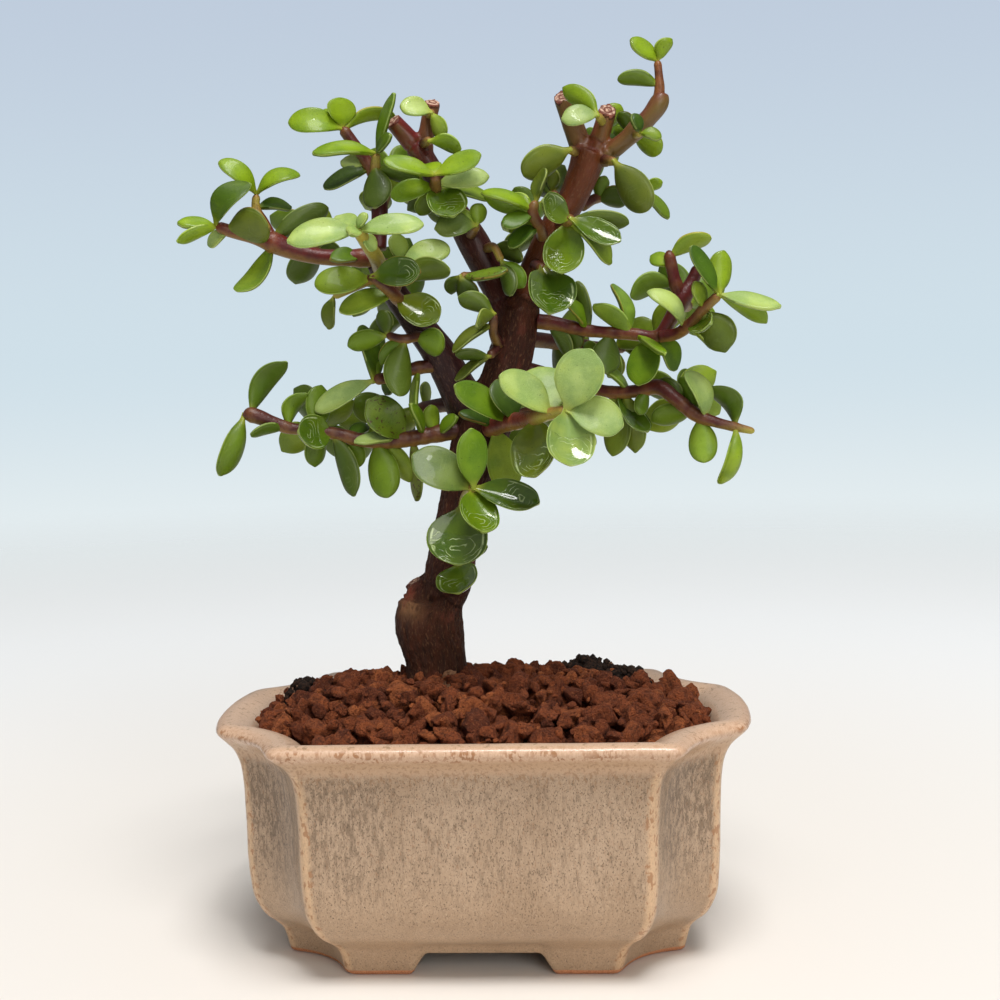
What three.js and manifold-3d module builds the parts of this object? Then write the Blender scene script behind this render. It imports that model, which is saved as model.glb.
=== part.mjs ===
// Dwarf jade bonsai in a glazed ceramic pot.
// Millimetres, +Z up, the front of the pot toward -Y.
// The plant is set out as a front view: a point is written [x, z, depth, radius], where x and z are
// the place at which its line of sight from EYE crosses the plane y = 0, and depth is its real y.
import * as THREE from "three";
import { ConvexGeometry } from "three/addons/geometries/ConvexGeometry.js";
import { mergeVertices } from "three/addons/utils/BufferGeometryUtils.js";
import Module from "manifold-3d";

const wasm = await Module();
wasm.setup();
const { Manifold, Mesh } = wasm;

// ---------------------------------------------------------------- driving sizes
const GAP = 0.3;                    // clearance between pieces that touch
const EYE = [20, -342, 131];        // where the front view is seen from

const POT = {
  cutX: 16,                         // how far each corner is cut in along the front
  cutY: 16.5,                       // and along the side
  cornerHollow: 3.2,                // how deep the cut curves in behind its chord
  cornerSteps: 3,
  floorTop: 14,
  floorUnder: 8.6,
  footWall: 7,
  apronHeight: 6.8,
  apronHalfFront: 13,
  apronHalfSide: 5,
  drainRadius: 5,
  drainX: 22,
};
// [z, half width, half depth, bow of the sides] of the outside, from the foot to the crest of the lip
const POT_OUTSIDE = [
  [0, 46, 24.4, 0.6], [1.2, 46.4, 24.8, 0.6], [9.2, 46.4, 25.4, 0.6], [11.2, 49.6, 30.2, 0.7],
  [14, 52.2, 33.2, 0.8], [20, 53.4, 34.2, 0.8], [38, 54, 35, 0.8], [44, 55.2, 36.2, 1.2],
  [47.4, 58, 38.4, 2], [48.8, 60.2, 40.4, 2.6], [50.8, 61.2, 41.4, 2.8], [52.8, 60.8, 41.1, 2.8],
  [54.4, 59, 39.6, 2.6],
];
// the same of the inside, from the crest of the lip down to the floor
const POT_INSIDE = [
  [54.8, 57.4, 38.2, 2.4], [53.6, 55, 35.9, 2.2], [51, 52.2, 33.2, 1.6], [46, 50, 31.4, 1],
  [18, 47.6, 28.8, 0.6], [14, 43, 24.4, 0.4],
];

const MESH_SIDE = 20;               // plastic mesh over a drain hole
const MESH_THICK = 1;
const MESH_BAR = 1.4;
const MESH_CELLS = 3;               // openings along each side of the mesh

const MOUND_EDGE = 51.2;            // soil height where it meets the wall
const MOUND_RISE = 8.6;             // extra height in the middle
const MOUND_TILT = 0.03;            // the heap is a little higher at the right
const HEAP_POWERS = [2.2, 2.4];      // how blunt the heap is across and along
const LAYER = 8;                    // depth of the granule layer over the compost
const GRAIN_STEP = 9.8;             // distance between granules
const GRAIN_JITTER = 1.3;           // how far a corner of a granule may stray
const GRAIN_TOP_SHARE = [0.62, 0.78]; // width of a lump's top as a share of its cell
const GRAIN_TILT = 1.6;              // how far the corners of a top stray up and down
const GRANULE_WALL = [38, 46, 51, 53.6]; // heights at which the layer follows the pot's wall
const GRANULE_FLOOR = 30;            // below the layer
const GRANULE_CEILING = 80;          // above the layer
const GRAIN_SEED = 700;
const SEED_ROW = 53;                 // draws kept apart from one column of cells to the next
const GRAIN_VALLEY = 1.2;           // depth of the joints between granules
const GRAIN_RISE = [1.4, 3.2];      // least and greatest height of a granule over the soil surface

// Lumps of dark compost that stand up through the granules: [x, y, z, radius x, y, z].
const COMPOST_LUMPS = [
  [24, 21, 51.5, 13, 8, 10.6],
  [33, 17, 50.5, 8, 7, 9],
  [-40, 11, 50, 6, 5.5, 7.6],
];
const LUMP_POINTS = 15;             // corners of a lump
const LUMP_UNEVEN = [0.86, 1.14];    // least and greatest share of a lump's radius

const STEM_SIDES = 4;
const TRUNK_SIDES = 8;
const LEAF_THICK = 1.5;
const GOLDEN_TURN = 2.39996;        // radians between successive points spread over a ball

// ---------------------------------------------------------------- small helpers
const add = (a, b) => [a[0] + b[0], a[1] + b[1], a[2] + b[2]];
const sub = (a, b) => [a[0] - b[0], a[1] - b[1], a[2] - b[2]];
const mul = (a, k) => [a[0] * k, a[1] * k, a[2] * k];
const dot = (a, b) => a[0] * b[0] + a[1] * b[1] + a[2] * b[2];
const cross = (a, b) => [
  a[1] * b[2] - a[2] * b[1],
  a[2] * b[0] - a[0] * b[2],
  a[0] * b[1] - a[1] * b[0],
];
const length = (a) => Math.sqrt(dot(a, a));
const unit = (a) => mul(a, 1 / length(a));
const mix = (a, b, t) => add(mul(a, 1 - t), mul(b, t));
const radians = (degrees) => (degrees * Math.PI) / 180;
const between = ([low, high], share) => low + (high - low) * share;
const across = (v, along) => unit(sub(v, mul(along, dot(v, along))));

// A repeatable draw between 0 and 1 for each number.
function draw(n) {
  const s = Math.sin(n * 12.9898 + 4.1414) * 43758.5453;
  return s - Math.floor(s);
}

// Turn v about a unit axis.
function turned(v, axis, angle) {
  const c = Math.cos(angle);
  const s = Math.sin(angle);
  return add(add(mul(v, c), mul(cross(axis, v), s)), mul(axis, dot(axis, v) * (1 - c)));
}

// A closed solid through rings that all have the same number of points, with fans over both ends.
function loft(rings) {
  const points = [];
  const faces = [];
  const n = rings[0].length;
  for (const ring of rings) {
    points.push(...ring);
  }
  for (let i = 0; i + 1 < rings.length; i += 1) {
    for (let j = 0; j < n; j += 1) {
      const a = i * n + j;
      const b = i * n + ((j + 1) % n);
      faces.push([a, b, b + n], [a, b + n, a + n]);
    }
  }
  const last = (rings.length - 1) * n;
  const middle = (ring) => mul(ring.reduce(add), 1 / n);
  points.push(middle(rings[0]), middle(rings[rings.length - 1]));
  for (let j = 0; j < n; j += 1) {
    const k = (j + 1) % n;
    faces.push([k, j, points.length - 2], [last + j, last + k, points.length - 1]);
  }
  return solid(points, faces);
}

// A solid of the given faces, turned outward whichever way round they are written.
function solid(points, faces) {
  const six = (a, b, c) => dot(sub(a, points[0]), cross(sub(b, points[0]), sub(c, points[0])));
  const volume = faces.reduce((sum, [a, b, c]) => sum + six(points[a], points[b], points[c]), 0);
  const outward = volume < 0 ? faces.map(([a, b, c]) => [a, c, b]) : faces;
  return new Manifold(new Mesh({
    numProp: 3,
    vertProperties: new Float32Array(points.flat()),
    triVerts: new Uint32Array(outward.flat()),
  }));
}

// A closed geometry as a solid that can be joined and cut.
function solidOf(geometry) {
  geometry.deleteAttribute("normal");
  geometry.deleteAttribute("uv");
  const merged = mergeVertices(geometry, 1e-3);
  return new Manifold(new Mesh({
    numProp: 3,
    vertProperties: new Float32Array(merged.attributes.position.array),
    triVerts: new Uint32Array(merged.index.array),
  }));
}

const union = (solids) => Manifold.union(solids);

// The largest body of a solid, without the crumbs that a cut has left.
const mainBody = (made) => made.decompose().sort((a, b) => b.volume() - a.volume())[0];

// ---------------------------------------------------------------- the pot
// Outline seen from above: bowed sides, and corners that are cut in by a hollow curve.
function potOutline(halfX, halfY, bow) {
  const cutY = POT.cutY + 2 * bow;
  const sideX = halfX - bow;
  const quarter = [];
  for (let i = 0; i <= POT.cornerSteps; i += 1) {
    const t = i / POT.cornerSteps;
    const hollow = POT.cornerHollow * 4 * t * (1 - t) * Math.SQRT1_2;
    quarter.push([sideX - POT.cutX * (1 - t) - hollow, -halfY + cutY * t + hollow]);
  }
  quarter.push([halfX - bow * 0.25, (-halfY + cutY) / 2]);
  const right = [...quarter, [halfX, 0], ...quarter.map(([x, y]) => [x, -y]).reverse()];
  return [...right, ...right.map(([x, y]) => [-x, -y])];
}

const potRing = ([z, halfX, halfY, bow]) => potOutline(halfX, halfY, bow).map(([x, y]) => [x, y, z]);
const block = (halfX, halfY, low, high) =>
  solidOf(new THREE.BoxGeometry(2 * halfX, 2 * halfY, high - low).translate(0, 0, (low + high) / 2));

// Half width, half depth and bow of the inside at a height, drawn in by a clearance.
function insideAt(z, clearance = 0) {
  const rows = [...POT_INSIDE].reverse();
  const top = rows[rows.length - 1];
  let found = top.slice(1);
  for (let i = rows.length - 2; i >= 0; i -= 1) {
    const [a, b] = [rows[i], rows[i + 1]];
    if (z <= b[0]) {
      const t = Math.max(0, (z - a[0]) / (b[0] - a[0]));
      found = [1, 2, 3].map((k) => a[k] + (b[k] - a[k]) * t);
    }
  }
  return [found[0] - clearance, found[1] - clearance, found[2]];
}

function makePot() {
  const body = loft([...POT_OUTSIDE, ...POT_INSIDE].map(potRing));
  const [, footX, footY, bow] = POT_OUTSIDE[0];
  const below = -1;
  const recess = (z) => potRing([z, footX - POT.footWall, footY - POT.footWall, bow]);
  const under = loft([recess(below), recess(POT.floorUnder)]);
  const aprons = union([
    block(POT.apronHalfFront, 2 * footY, below, POT.apronHeight),
    block(2 * footX, POT.apronHalfSide, below, POT.apronHeight),
  ]);
  const drain = new THREE.CylinderGeometry(POT.drainRadius, POT.drainRadius, 2 * POT.floorTop, 20);
  const drains = [-POT.drainX, POT.drainX].map((x) =>
    solidOf(drain.clone().rotateX(Math.PI / 2).translate(x, 0, POT.floorTop)));
  return body.subtract(union([under, aprons, ...drains]));
}

// The mesh over a drain hole: bars both ways, around the origin.
function makeDrainMesh() {
  const pitch = (MESH_SIDE - MESH_BAR) / MESH_CELLS;
  const bar = new THREE.BoxGeometry(MESH_SIDE, MESH_BAR, MESH_THICK);
  const bars = [];
  for (let i = 0; i <= MESH_CELLS; i += 1) {
    const at = -MESH_SIDE / 2 + MESH_BAR / 2 + i * pitch;
    bars.push(solidOf(bar.clone().translate(0, at, 0)));
    bars.push(solidOf(bar.clone().rotateZ(Math.PI / 2).translate(at, 0, 0)));
  }
  return union(bars);
}

// ---------------------------------------------------------------- the soil
// Height of the soil surface, heaped toward the trunk.
function soilHeight(x, y) {
  const [halfX, halfY] = insideAt(MOUND_EDGE);
  const u = Math.min(1, Math.abs(x) / halfX);
  const v = Math.min(1, Math.abs(y) / halfY);
  const heap = (1 - u ** HEAP_POWERS[0]) * (1 - v ** HEAP_POWERS[1]);
  return MOUND_EDGE + (MOUND_RISE + MOUND_TILT * x) * heap;
}

const potWallRing = (z) => potRing([z, ...insideAt(z, GAP)]);

// A body that fills the pot from the given lower rings up to a drop below the soil surface.
function soilBody(drop, lower, clearance) {
  const steps = 4;
  const outline = potOutline(...insideAt(MOUND_EDGE - drop, clearance));
  const rings = [...lower];
  for (let i = 0; i <= steps; i += 1) {
    const share = i < steps ? 1 - i / steps : 0.04;
    rings.push(outline.map(([x, y]) => [x * share, y * share, soilHeight(x * share, y * share) - drop]));
  }
  return loft(rings);
}

// The compost lumps, each the hull of points strewn on an uneven ball.
function compostLumps(grow) {
  return COMPOST_LUMPS.map(([x, y, z, a, b, c], i) => {
    const points = [];
    for (let k = 0; k < LUMP_POINTS; k += 1) {
      const up = 1 - (2 * (k + 0.5)) / LUMP_POINTS;
      const round = Math.sqrt(1 - up * up);
      const turn = k * GOLDEN_TURN;
      const r = between(LUMP_UNEVEN, draw(k + 40 * i + 7));
      points.push(new THREE.Vector3(
        x + (a * r + grow) * round * Math.cos(turn),
        y + (b * r + grow) * round * Math.sin(turn),
        z + (c * r + grow) * up,
      ));
    }
    return solidOf(new ConvexGeometry(points));
  });
}

function makeCompost(trunkCutter) {
  const body = soilBody(LAYER, [POT.floorTop + GAP, 18].map(potWallRing), GAP);
  const recessSide = MESH_SIDE / 2 + GAP;
  const recess = block(recessSide, recessSide, POT.floorTop, POT.floorTop + MESH_THICK + 2 * GAP);
  return union([body, ...compostLumps(0)]).subtract(union([
    trunkCutter,
    recess.translate([-POT.drainX, 0, 0]),
    recess.translate([POT.drainX, 0, 0]),
  ]));
}

// The upper surface of the granules: six-sided cells, each a lump with a valley round it.
function granuleRelief() {
  const points = [];
  const faces = [];
  const known = new Map();
  const put = (x, y, lift, seed) => {
    const px = x + GRAIN_JITTER * (draw(seed) - 0.5);
    const py = y + GRAIN_JITTER * (draw(seed + 0.3) - 0.5);
    points.push([px, py, soilHeight(px, py) + lift]);
    return points.length - 1;
  };
  const corner = (x, y) => {
    const key = Math.round(x * 2) * 1000 + Math.round(y * 2);
    if (!known.has(key)) {
      known.set(key, put(x, y, -GRAIN_VALLEY, key));
    }
    return known.get(key);
  };
  const rowStep = (GRAIN_STEP * Math.sqrt(3)) / 2;
  const reach = GRAIN_STEP / Math.sqrt(3);
  const columns = Math.ceil(POT_INSIDE[0][1] / GRAIN_STEP);
  const rows = Math.ceil(POT_INSIDE[0][2] / rowStep);
  for (let i = -columns; i <= columns; i += 1) {
    for (let j = -rows; j <= rows; j += 1) {
      const seed = GRAIN_SEED + SEED_ROW * i + j;
      const x = (i + 0.5 * Math.abs(j % 2)) * GRAIN_STEP;
      const y = j * rowStep;
      const size = between(GRAIN_TOP_SHARE, draw(seed));
      const lift = between(GRAIN_RISE, draw(seed + 0.7));
      const outer = [];
      const inner = [];
      for (let k = 0; k < 6; k += 1) {
        const turn = radians(30 + 60 * k);
        const dx = reach * Math.cos(turn);
        const dy = reach * Math.sin(turn);
        outer.push(corner(x + dx, y + dy));
        inner.push(put(x + dx * size, y + dy * size, lift + GRAIN_TILT * (draw(seed + k) - 0.5), seed + 0.17 * k));
      }
      faces.push([inner[0], inner[1], inner[2]], [inner[0], inner[2], inner[4]]);
      faces.push([inner[2], inner[3], inner[4]], [inner[0], inner[4], inner[5]]);
      for (let k = 0; k < 6; k += 1) {
        const n = (k + 1) % 6;
        faces.push([inner[k], outer[k], outer[n]], [inner[k], outer[n], inner[n]]);
      }
    }
  }
  return thickened(points, faces, MOUND_EDGE - 2 * LAYER);
}

// A solid between an open surface and the flat plane at a height below it.
function thickened(points, faces, floor) {
  const n = points.length;
  const once = new Map();
  for (const [a, b, c] of faces) {
    for (const [from, to] of [[a, b], [b, c], [c, a]]) {
      if (!once.delete(to * n + from)) {
        once.set(from * n + to, [from, to]);
      }
    }
  }
  const sides = [];
  for (const [from, to] of once.values()) {
    sides.push([from, from + n, to + n], [from, to + n, to]);
  }
  return solid(
    [...points, ...points.map(([x, y]) => [x, y, floor])],
    [...faces, ...faces.map(([a, b, c]) => [a + n, c + n, b + n]), ...sides],
  );
}

// The layer of granules: the relief cut to the pot wall, clear of the compost and the trunk.
function makeGranules(trunkCutter) {
  const beyond = -4;
  const wall = loft([
    ...GRANULE_WALL.map(potWallRing),
    potWallRing(GRANULE_WALL.at(-1)).map(([x, y]) => [x, y, GRANULE_CEILING]),
  ]);
  const below = soilBody(LAYER - GAP, [potRing([GRANULE_FLOOR, ...insideAt(GRANULE_FLOOR, beyond)])], beyond);
  const cutters = union([below, trunkCutter, ...compostLumps(GAP)]);
  return mainBody(granuleRelief().intersect(wall).subtract(cutters));
}

// ---------------------------------------------------------------- stems
// The real place of a front-view point.
function place([x, z, depth]) {
  const k = (depth - EYE[1]) / -EYE[1];
  return [EYE[0] + (x - EYE[0]) * k, depth, EYE[2] + (z - EYE[2]) * k];
}

// A round stem through front-view points, with flat ends.
function stem(points, sides, grow = 0) {
  const nodes = points.map(place);
  const rings = [];
  let side = [0.31, -0.95, 0.05];
  for (let i = 0; i < nodes.length; i += 1) {
    const before = nodes[Math.max(0, i - 1)];
    const after = nodes[Math.min(nodes.length - 1, i + 1)];
    const along = unit(sub(after, before));
    side = across(side, along);
    const other = cross(along, side);
    const ring = [];
    for (let k = 0; k < sides; k += 1) {
      const turn = (2 * Math.PI * k) / sides;
      const out = add(mul(side, Math.cos(turn)), mul(other, Math.sin(turn)));
      ring.push(add(nodes[i], mul(out, points[i][3] + grow)));
    }
    rings.push(ring);
  }
  return loft(rings);
}

// The trunk, its limbs and the sawn stubs, all one piece of wood.
const TRUNK = {
  stump: [
    [-10, 46, 9, 5.5], [-10.8, 57, 9, 7.4], [-10.9, 65, 9, 7.0], [-12.3, 75, 9, 7.9],
    [-11.4, 79.2, 9, 7],
  ],
  scar: [[-12.6, 76, 9, 4.4], [-14.4, 81, 9, 3.2], [-15.4, 84.2, 9, 1.9]],
  leader: [
    [-9.6, 76, 8.5, 5.8], [-8, 81.5, 8.5, 6.2], [-5.4, 95, 7.5, 5.6],
    [-2.4, 107, 6.5, 5.8], [1, 118.5, 5.5, 6.2], [4.6, 127, 5.5, 5.3],
    [8.4, 138, 5.5, 4.9], [9.8, 145.5, 5.5, 4.6],
  ],
  leftLimb: [
    [0, 118, 6, 5.2], [-5.4, 130, 6.5, 4.2], [-8.8, 136.6, 6, 3.9],
    [-14.4, 144.3, 4.3, 3.2], [-20, 152.4, 2, 2.8], [-22.2, 157, 1.5, 2.5],
  ],
  innerLimb: [
    [8.6, 143, 6, 4.0], [5.4, 149.6, 7, 3.5], [-0.4, 161.2, 8, 3.6],
    [-4, 167.6, 7.5, 3.0], [-11.2, 180.4, 5.5, 2.5],
  ],
  redStub: [[-11.2, 180, 5.5, 2.3], [-14.6, 184.6, 5, 2.2], [-18, 188.6, 4, 1.9]],
  brownStub: [[-11, 180.5, 5.5, 2.0], [-10.2, 186.5, 6, 1.8], [-8.8, 192.4, 6, 1.8]],
  crownLimb: [
    [9.6, 143.5, 5.5, 4.2], [12.4, 152, 5.5, 3.5], [17.6, 163, 5, 3.3],
    [22.9, 171.6, 5, 3.3], [26.3, 180.4, 5, 3.9],
  ],
  crownLeftStub: [[25.2, 179, 5.5, 2.5], [22.6, 186.6, 7, 2.4], [20.5, 192.8, 7.5, 2.2]],
  crownMiddleStub: [[27, 179, 5, 2.3], [29, 185, 4.5, 2.1], [30.4, 189.6, 4, 2.0]],
  crownRightLimb: [
    [28.6, 178.8, 5, 2.4], [35.8, 184.4, 3, 2.2], [39.6, 187.8, 2, 2.3], [42.8, 192.4, 2, 2.1],
  ],
};

const makeTrunk = (grow) =>
  union(Object.values(TRUNK).map((points) => stem(points, TRUNK_SIDES, grow)));

// ---------------------------------------------------------------- leaves
// [share of the length, share of the half width, thickness] at the cuts across a blade
const LEAF_CUTS = [[0, 0.14, 1.1], [0.42, 0.97, 1.5], [0.8, 0.93, 1.3], [1, 0.1, 0]];
const SMALL_CUTS = [[0, 0.14, 1.1], [0.62, 1, 1.4], [1, 0.1, 0]];
const SMALL = 4.5;                  // a blade narrower than this has the simpler cuts
const LEAF_ARCH = 0.07;             // rise of the middle of the midrib, as a share of the length

function leafHalfWidth(leaf, t) {
  for (let i = 0; i + 1 < LEAF_CUTS.length; i += 1) {
    const [a, b] = [LEAF_CUTS[i], LEAF_CUTS[i + 1]];
    if (t <= b[0]) {
      return (leaf.width / 2) * (a[1] + ((b[1] - a[1]) * (t - a[0])) / (b[0] - a[0]));
    }
  }
  return (leaf.width / 2) * 0.1;
}

const leafRise = (leaf, t) => leaf.arch * leaf.length * 4 * t * (1 - t);

// One blade: three-cornered cuts, keeled underneath, from the root to a pointed tip.
function makeLeaf(leaf) {
  const side = cross(leaf.along, leaf.face);
  const points = [];
  const faces = [[0, 2, 1]];
  const put = (t, v, w) => {
    const on = add(leaf.base, mul(leaf.along, t * leaf.length));
    points.push(add(add(on, mul(side, v)), mul(leaf.face, leafRise(leaf, t) + w)));
  };
  for (const [t, share, thick] of leaf.width < SMALL ? SMALL_CUTS : LEAF_CUTS) {
    if (thick > 0) {
      const half = (leaf.width / 2) * share;
      put(t, -half, 0.3 * thick);
      put(t, 0, -0.7 * thick);
      put(t, half, 0.3 * thick);
    }
  }
  put(1, 0, 0);
  const last = points.length - 1;
  for (let j = 0; j < 3; j += 1) {
    const k = (j + 1) % 3;
    for (let i = 0; i + 3 < last; i += 3) {
      faces.push([i + j, i + k, i + k + 3], [i + j, i + k + 3, i + j + 3]);
    }
    faces.push([last - 3 + j, last - 3 + k, last]);
  }
  return solid(points, faces);
}

// ---------------------------------------------------------------- leafy stems
// stems: points [x, z, depth, radius]. leaves: [base x, base z, tip x, tip z, lean toward the viewer,
// facing (90 shows the upper face, 0 the edge, -90 the underside), width, arch of the midrib].
// grown: [stem index, first point, last point, leaf length, seed] for pairs set crosswise by rule.
const SPRAYS = [
  {
    name: "trunk_front_shoot",
    stems: [
      [[-3.6, 101.5, 2, 1.5], [-3, 103.6, -5, 1.4], [-1.4, 105.4, -12, 1.2]],
      [[-3.4, 102.6, -2, 1.2], [-3.8, 101.4, -9, 1.1]],
    ],
    leaves: [
      [-3.8, 101.4, -5.6, 87.8, 18, 78, 14],
      [-1.3, 104.8, 0.6, 95, 40, 66, 9],
      [-1.3, 105.5, -2, 118.6, 8, 72, 7.4],
      [-1.8, 105.2, -16, 112.6, 0, 66, 10],
      [-0.8, 104.8, 13.8, 100.2, 8, 60, 7.6],
    ],
  },
  {
    name: "trunk_low_leaf",
    stems: [[[-5.6, 89.6, 4, 1.2], [-5, 88, -2, 1]]],
    leaves: [[-5, 87.6, -5.6, 80.6, 40, 60, 10.4], [-5.2, 88.6, 0.4, 92.2, -25, -50, 5.5]],
  },
  {
    name: "right_front_rosette",
    stems: [
      [
        [2.4, 118.8, 0, 2.1], [7, 120.2, -7, 2], [12.4, 121, -14, 1.9],
        [16.4, 122, -19, 1.4], [20.2, 122.8, -23, 1.2],
      ],
    ],
    leaves: [
      [20.2, 122, 20.5, 109.8, 22, 74, 10.8],
      [20.8, 123.3, 26.4, 135.8, 4, 76, 10.8],
      [21.3, 122.5, 32.8, 119.8, 8, 66, 8.6],
      [16.5, 122.6, 5.3, 131, 12, 60, 8],
      [16.9, 123, 13.6, 135.2, -8, 72, 10.6],
      [13.4, 119.6, 13, 106.9, 28, 64, 11],
      [7, 120.3, -5.2, 129.3, 14, 56, 7],
      [8.4, 121.3, 4, 129.8, -8, 62, 7.2],
      [3.6, 119.4, 7.3, 104.8, -4, 70, 8.4],
      [3.6, 119.8, -4.4, 122.8, 6, 40, 3.6],
      [20.8, 122, 26.2, 114.2, -18, -58, 4],
    ],
  },
  {
    name: "left_front_rosette",
    stems: [[
      [-21.6, 155.8, -1, 1.9], [-22.6, 158.4, -8, 1.8],
      [-24.8, 161.8, -14, 1.6], [-26.6, 164.6, -19, 1.2],
    ]],
    leaves: [
      [-27.2, 163.8, -42.2, 163, 6, 54, 7.2],
      [-25.8, 164.8, -11.8, 166.4, 4, 46, 6],
      [-27, 165.2, -32.8, 168.4, -40, 60, 5.6],
      [-26.4, 164.4, -29.9, 163.1, 42, 58, 3.4],
      [-26.4, 164.8, -24.9, 167.4, 15, 40, 2.4],
      [-25.6, 163.4, -22.4, 160.2, -20, 55, 3.6],
    ],
  },
  {
    name: "left_middle_spray",
    stems: [
      [[-15.4, 146.6, 1, 1.7], [-17.4, 148.4, -4, 1.6], [-19.4, 150.4, -9, 1.4], [-23.6, 154, -12, 1.2]],
      [[-18.6, 150, -7, 1.2], [-17.2, 153.6, -7, 1.1], [-16.8, 157, -5, 1]],
      [[-23, 153.6, -10.6, 1.2], [-28, 151.4, -5, 1], [-32.4, 149.6, -3, 0.9]],
    ],
    leaves: [
      [-23.8, 153.6, -36.6, 153, 4, 56, 7.2],
      [-23.2, 154.3, -12.6, 154.6, 18, 62, 7.2],
      [-18.6, 148.6, -9.2, 143.2, 24, 66, 8.4],
      [-19.6, 148.8, -31, 146.4, 5, 50, 6.4],
      [-32.4, 149.4, -34.2, 142.4, -6, 50, 3.8],
      [-16.8, 156.8, -5.6, 159.8, 0, 50, 6.4],
      [-17, 153, -5.4, 155, -4, -58, 6.6],
      [-17, 157.2, -21.4, 161.6, -8, 60, 5],
      [-17, 157.2, -14.6, 162.4, -28, -60, 4.6],
    ],
  },
  {
    name: "left_limb_twig",
    stems: [[
      [-10.6, 139.4, 3, 1.4], [-13.6, 140.2, -3, 1.2],
      [-16.4, 139.6, -5, 1.1], [-20.6, 140.6, -4, 0.9],
    ]],
    leaves: [
      [-14, 140.6, -7.4, 137.6, 8, -62, 6.8],
      [-16.4, 138.8, -18.4, 126.8, 12, -70, 7],
      [-16.6, 139, -22.2, 134.4, -20, -58, 4.4],
      [-20.4, 140.6, -29.4, 138.6, -8, -58, 5.2],
      [-20, 141, -21.8, 146, -18, -50, 4.6],
    ],
  },
  {
    name: "left_low_spray",
    stems: [[[-8.4, 133.4, 5, 1.7], [-13.8, 133, 4, 1.6], [-19.6, 131.2, 2, 1.5], [-23.8, 130.4, 0, 1.3]]],
    leaves: [
      [-24, 130, -37, 123.2, 4, 50, 6],
      [-24, 130.8, -25.6, 144.2, 8, 44, 6],
      [-23.4, 131, -21.4, 143.4, -8, -34, 4.4],
      [-19.6, 131, -20.8, 127, -24, 50, 3.6],
      [-13.4, 132.6, -15.2, 121.4, 20, 28, 3.4],
    ],
  },
  {
    name: "left_long_branch",
    stems: [
      [
        [-4.6, 118.6, 4, 2.2], [-9, 118, 3, 2.1], [-15, 117, 2, 1.9],
        [-20.6, 116.5, 1, 1.9], [-27, 116.8, 0, 1.7],
        [-33, 118.4, -1, 1.5], [-38, 119.2, -2, 1.3], [-43.4, 119.8, -2, 1.4], [-47.4, 121.2, -2.5, 1.6],
        [-52.4, 123, -3, 1.8], [-54.2, 122.8, -3, 1.3],
      ],
    ],
    leaves: [
      [-52.4, 124, -43.6, 134.6, 4, -60, 6, 0.24],
      [-54, 122, -60.4, 109.6, 4, -62, 5.8, -0.14],
      [-44.6, 119.6, -52.6, 118.6, 16, -30, 4.4],
      [-43.8, 120.3, -39.4, 127.6, 0, -50, 5, 0.22],
      [-33.6, 119, -41.4, 119.3, 38, 74, 8.2],
      [-36.8, 119.6, -35.6, 129.6, -12, -62, 6.6],
      [-36.4, 118, -38.2, 111, -14, -62, 5.6],
      [-33.8, 117.4, -28, 104.2, 8, -56, 5.6],
      [-29.6, 116.6, -28.6, 110.4, -30, -62, 6.2],
      [-23.6, 116, -20.8, 103.6, 5, -80, 7.4],
      [-21.4, 115.4, -15.8, 107.4, -16, -60, 5],
      [-17, 117.6, -22.6, 127.2, 14, 62, 9.2],
      [-18.4, 117.4, -28, 116.6, 30, 30, 4],
      [-30, 118.6, -25.4, 120.4, -30, 50, 3.6],
      [-12.6, 117.6, -14.6, 125.6, 34, 24, 3.4],
      [-15, 116, -14, 101.8, -6, -40, 4.2],
      [-9, 118, -4.4, 122.4, 32, 40, 3.8],
      [-10, 119, -7, 124.6, 4, -60, 5],
    ],
  },
  {
    name: "left_upper_branch",
    stems: [
      [
        [-22.8, 158, 0.6, 2.3], [-28, 158.2, 0, 2.1], [-35, 158.6, -1, 1.9],
        [-41, 160, -2, 2.1], [-45.8, 162, -3, 2.5],
        [-50, 163.2, -4, 1.6], [-55, 164.6, -5, 1.4], [-59, 166.2, -6, 1.3],
      ],
      [[-46, 162.6, -3, 1.5], [-48.2, 167, -2, 1.3], [-49.6, 170, -2, 1], [-49.4, 173, -2, 1]],
    ],
    leaves: [
      [-49.2, 173, -39.6, 177.8, 0, 42, 4.8, 0.2],
      [-49.6, 173, -58, 180, 6, 58, 5, 0.2],
      [-59, 166.8, -51.4, 175.8, 12, 54, 6.4, 0.24],
      [-49.6, 170, -41.4, 169.8, -20, 42, 3.8],
      [-45.6, 163.4, -33.4, 170.4, -10, -64, 6],
      [-56.8, 165, -46.6, 165.8, 26, -74, 8.6],
      [-59, 166.6, -67.4, 167.6, 0, 38, 3.8],
      [-58.8, 165.8, -68, 164, 12, -40, 3.8],
      [-56.4, 164.6, -60.8, 161.4, -22, 50, 3.6],
      [-46.4, 161.4, -55.4, 151.8, 8, 40, 6, -0.22],
      [-26, 160.4, -32.7, 158.8, 30, 46, 4.6],
    ],
  },
  {
    name: "upper_left_shoot",
    stems: [
      [
        [-21.9, 160, 2.2, 1.9], [-21.6, 164.5, 3, 1.9], [-21.5, 171, 3.5, 2],
        [-22.6, 177, 3.5, 1.6], [-24.8, 180.8, 3, 1.4],
        [-27.4, 184.4, 2.5, 1.4], [-29.4, 187.4, 2, 1.3],
      ],
      [[-22.4, 176.4, 3, 1.3], [-21.8, 181.6, 0.5, 1]],
    ],
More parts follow.
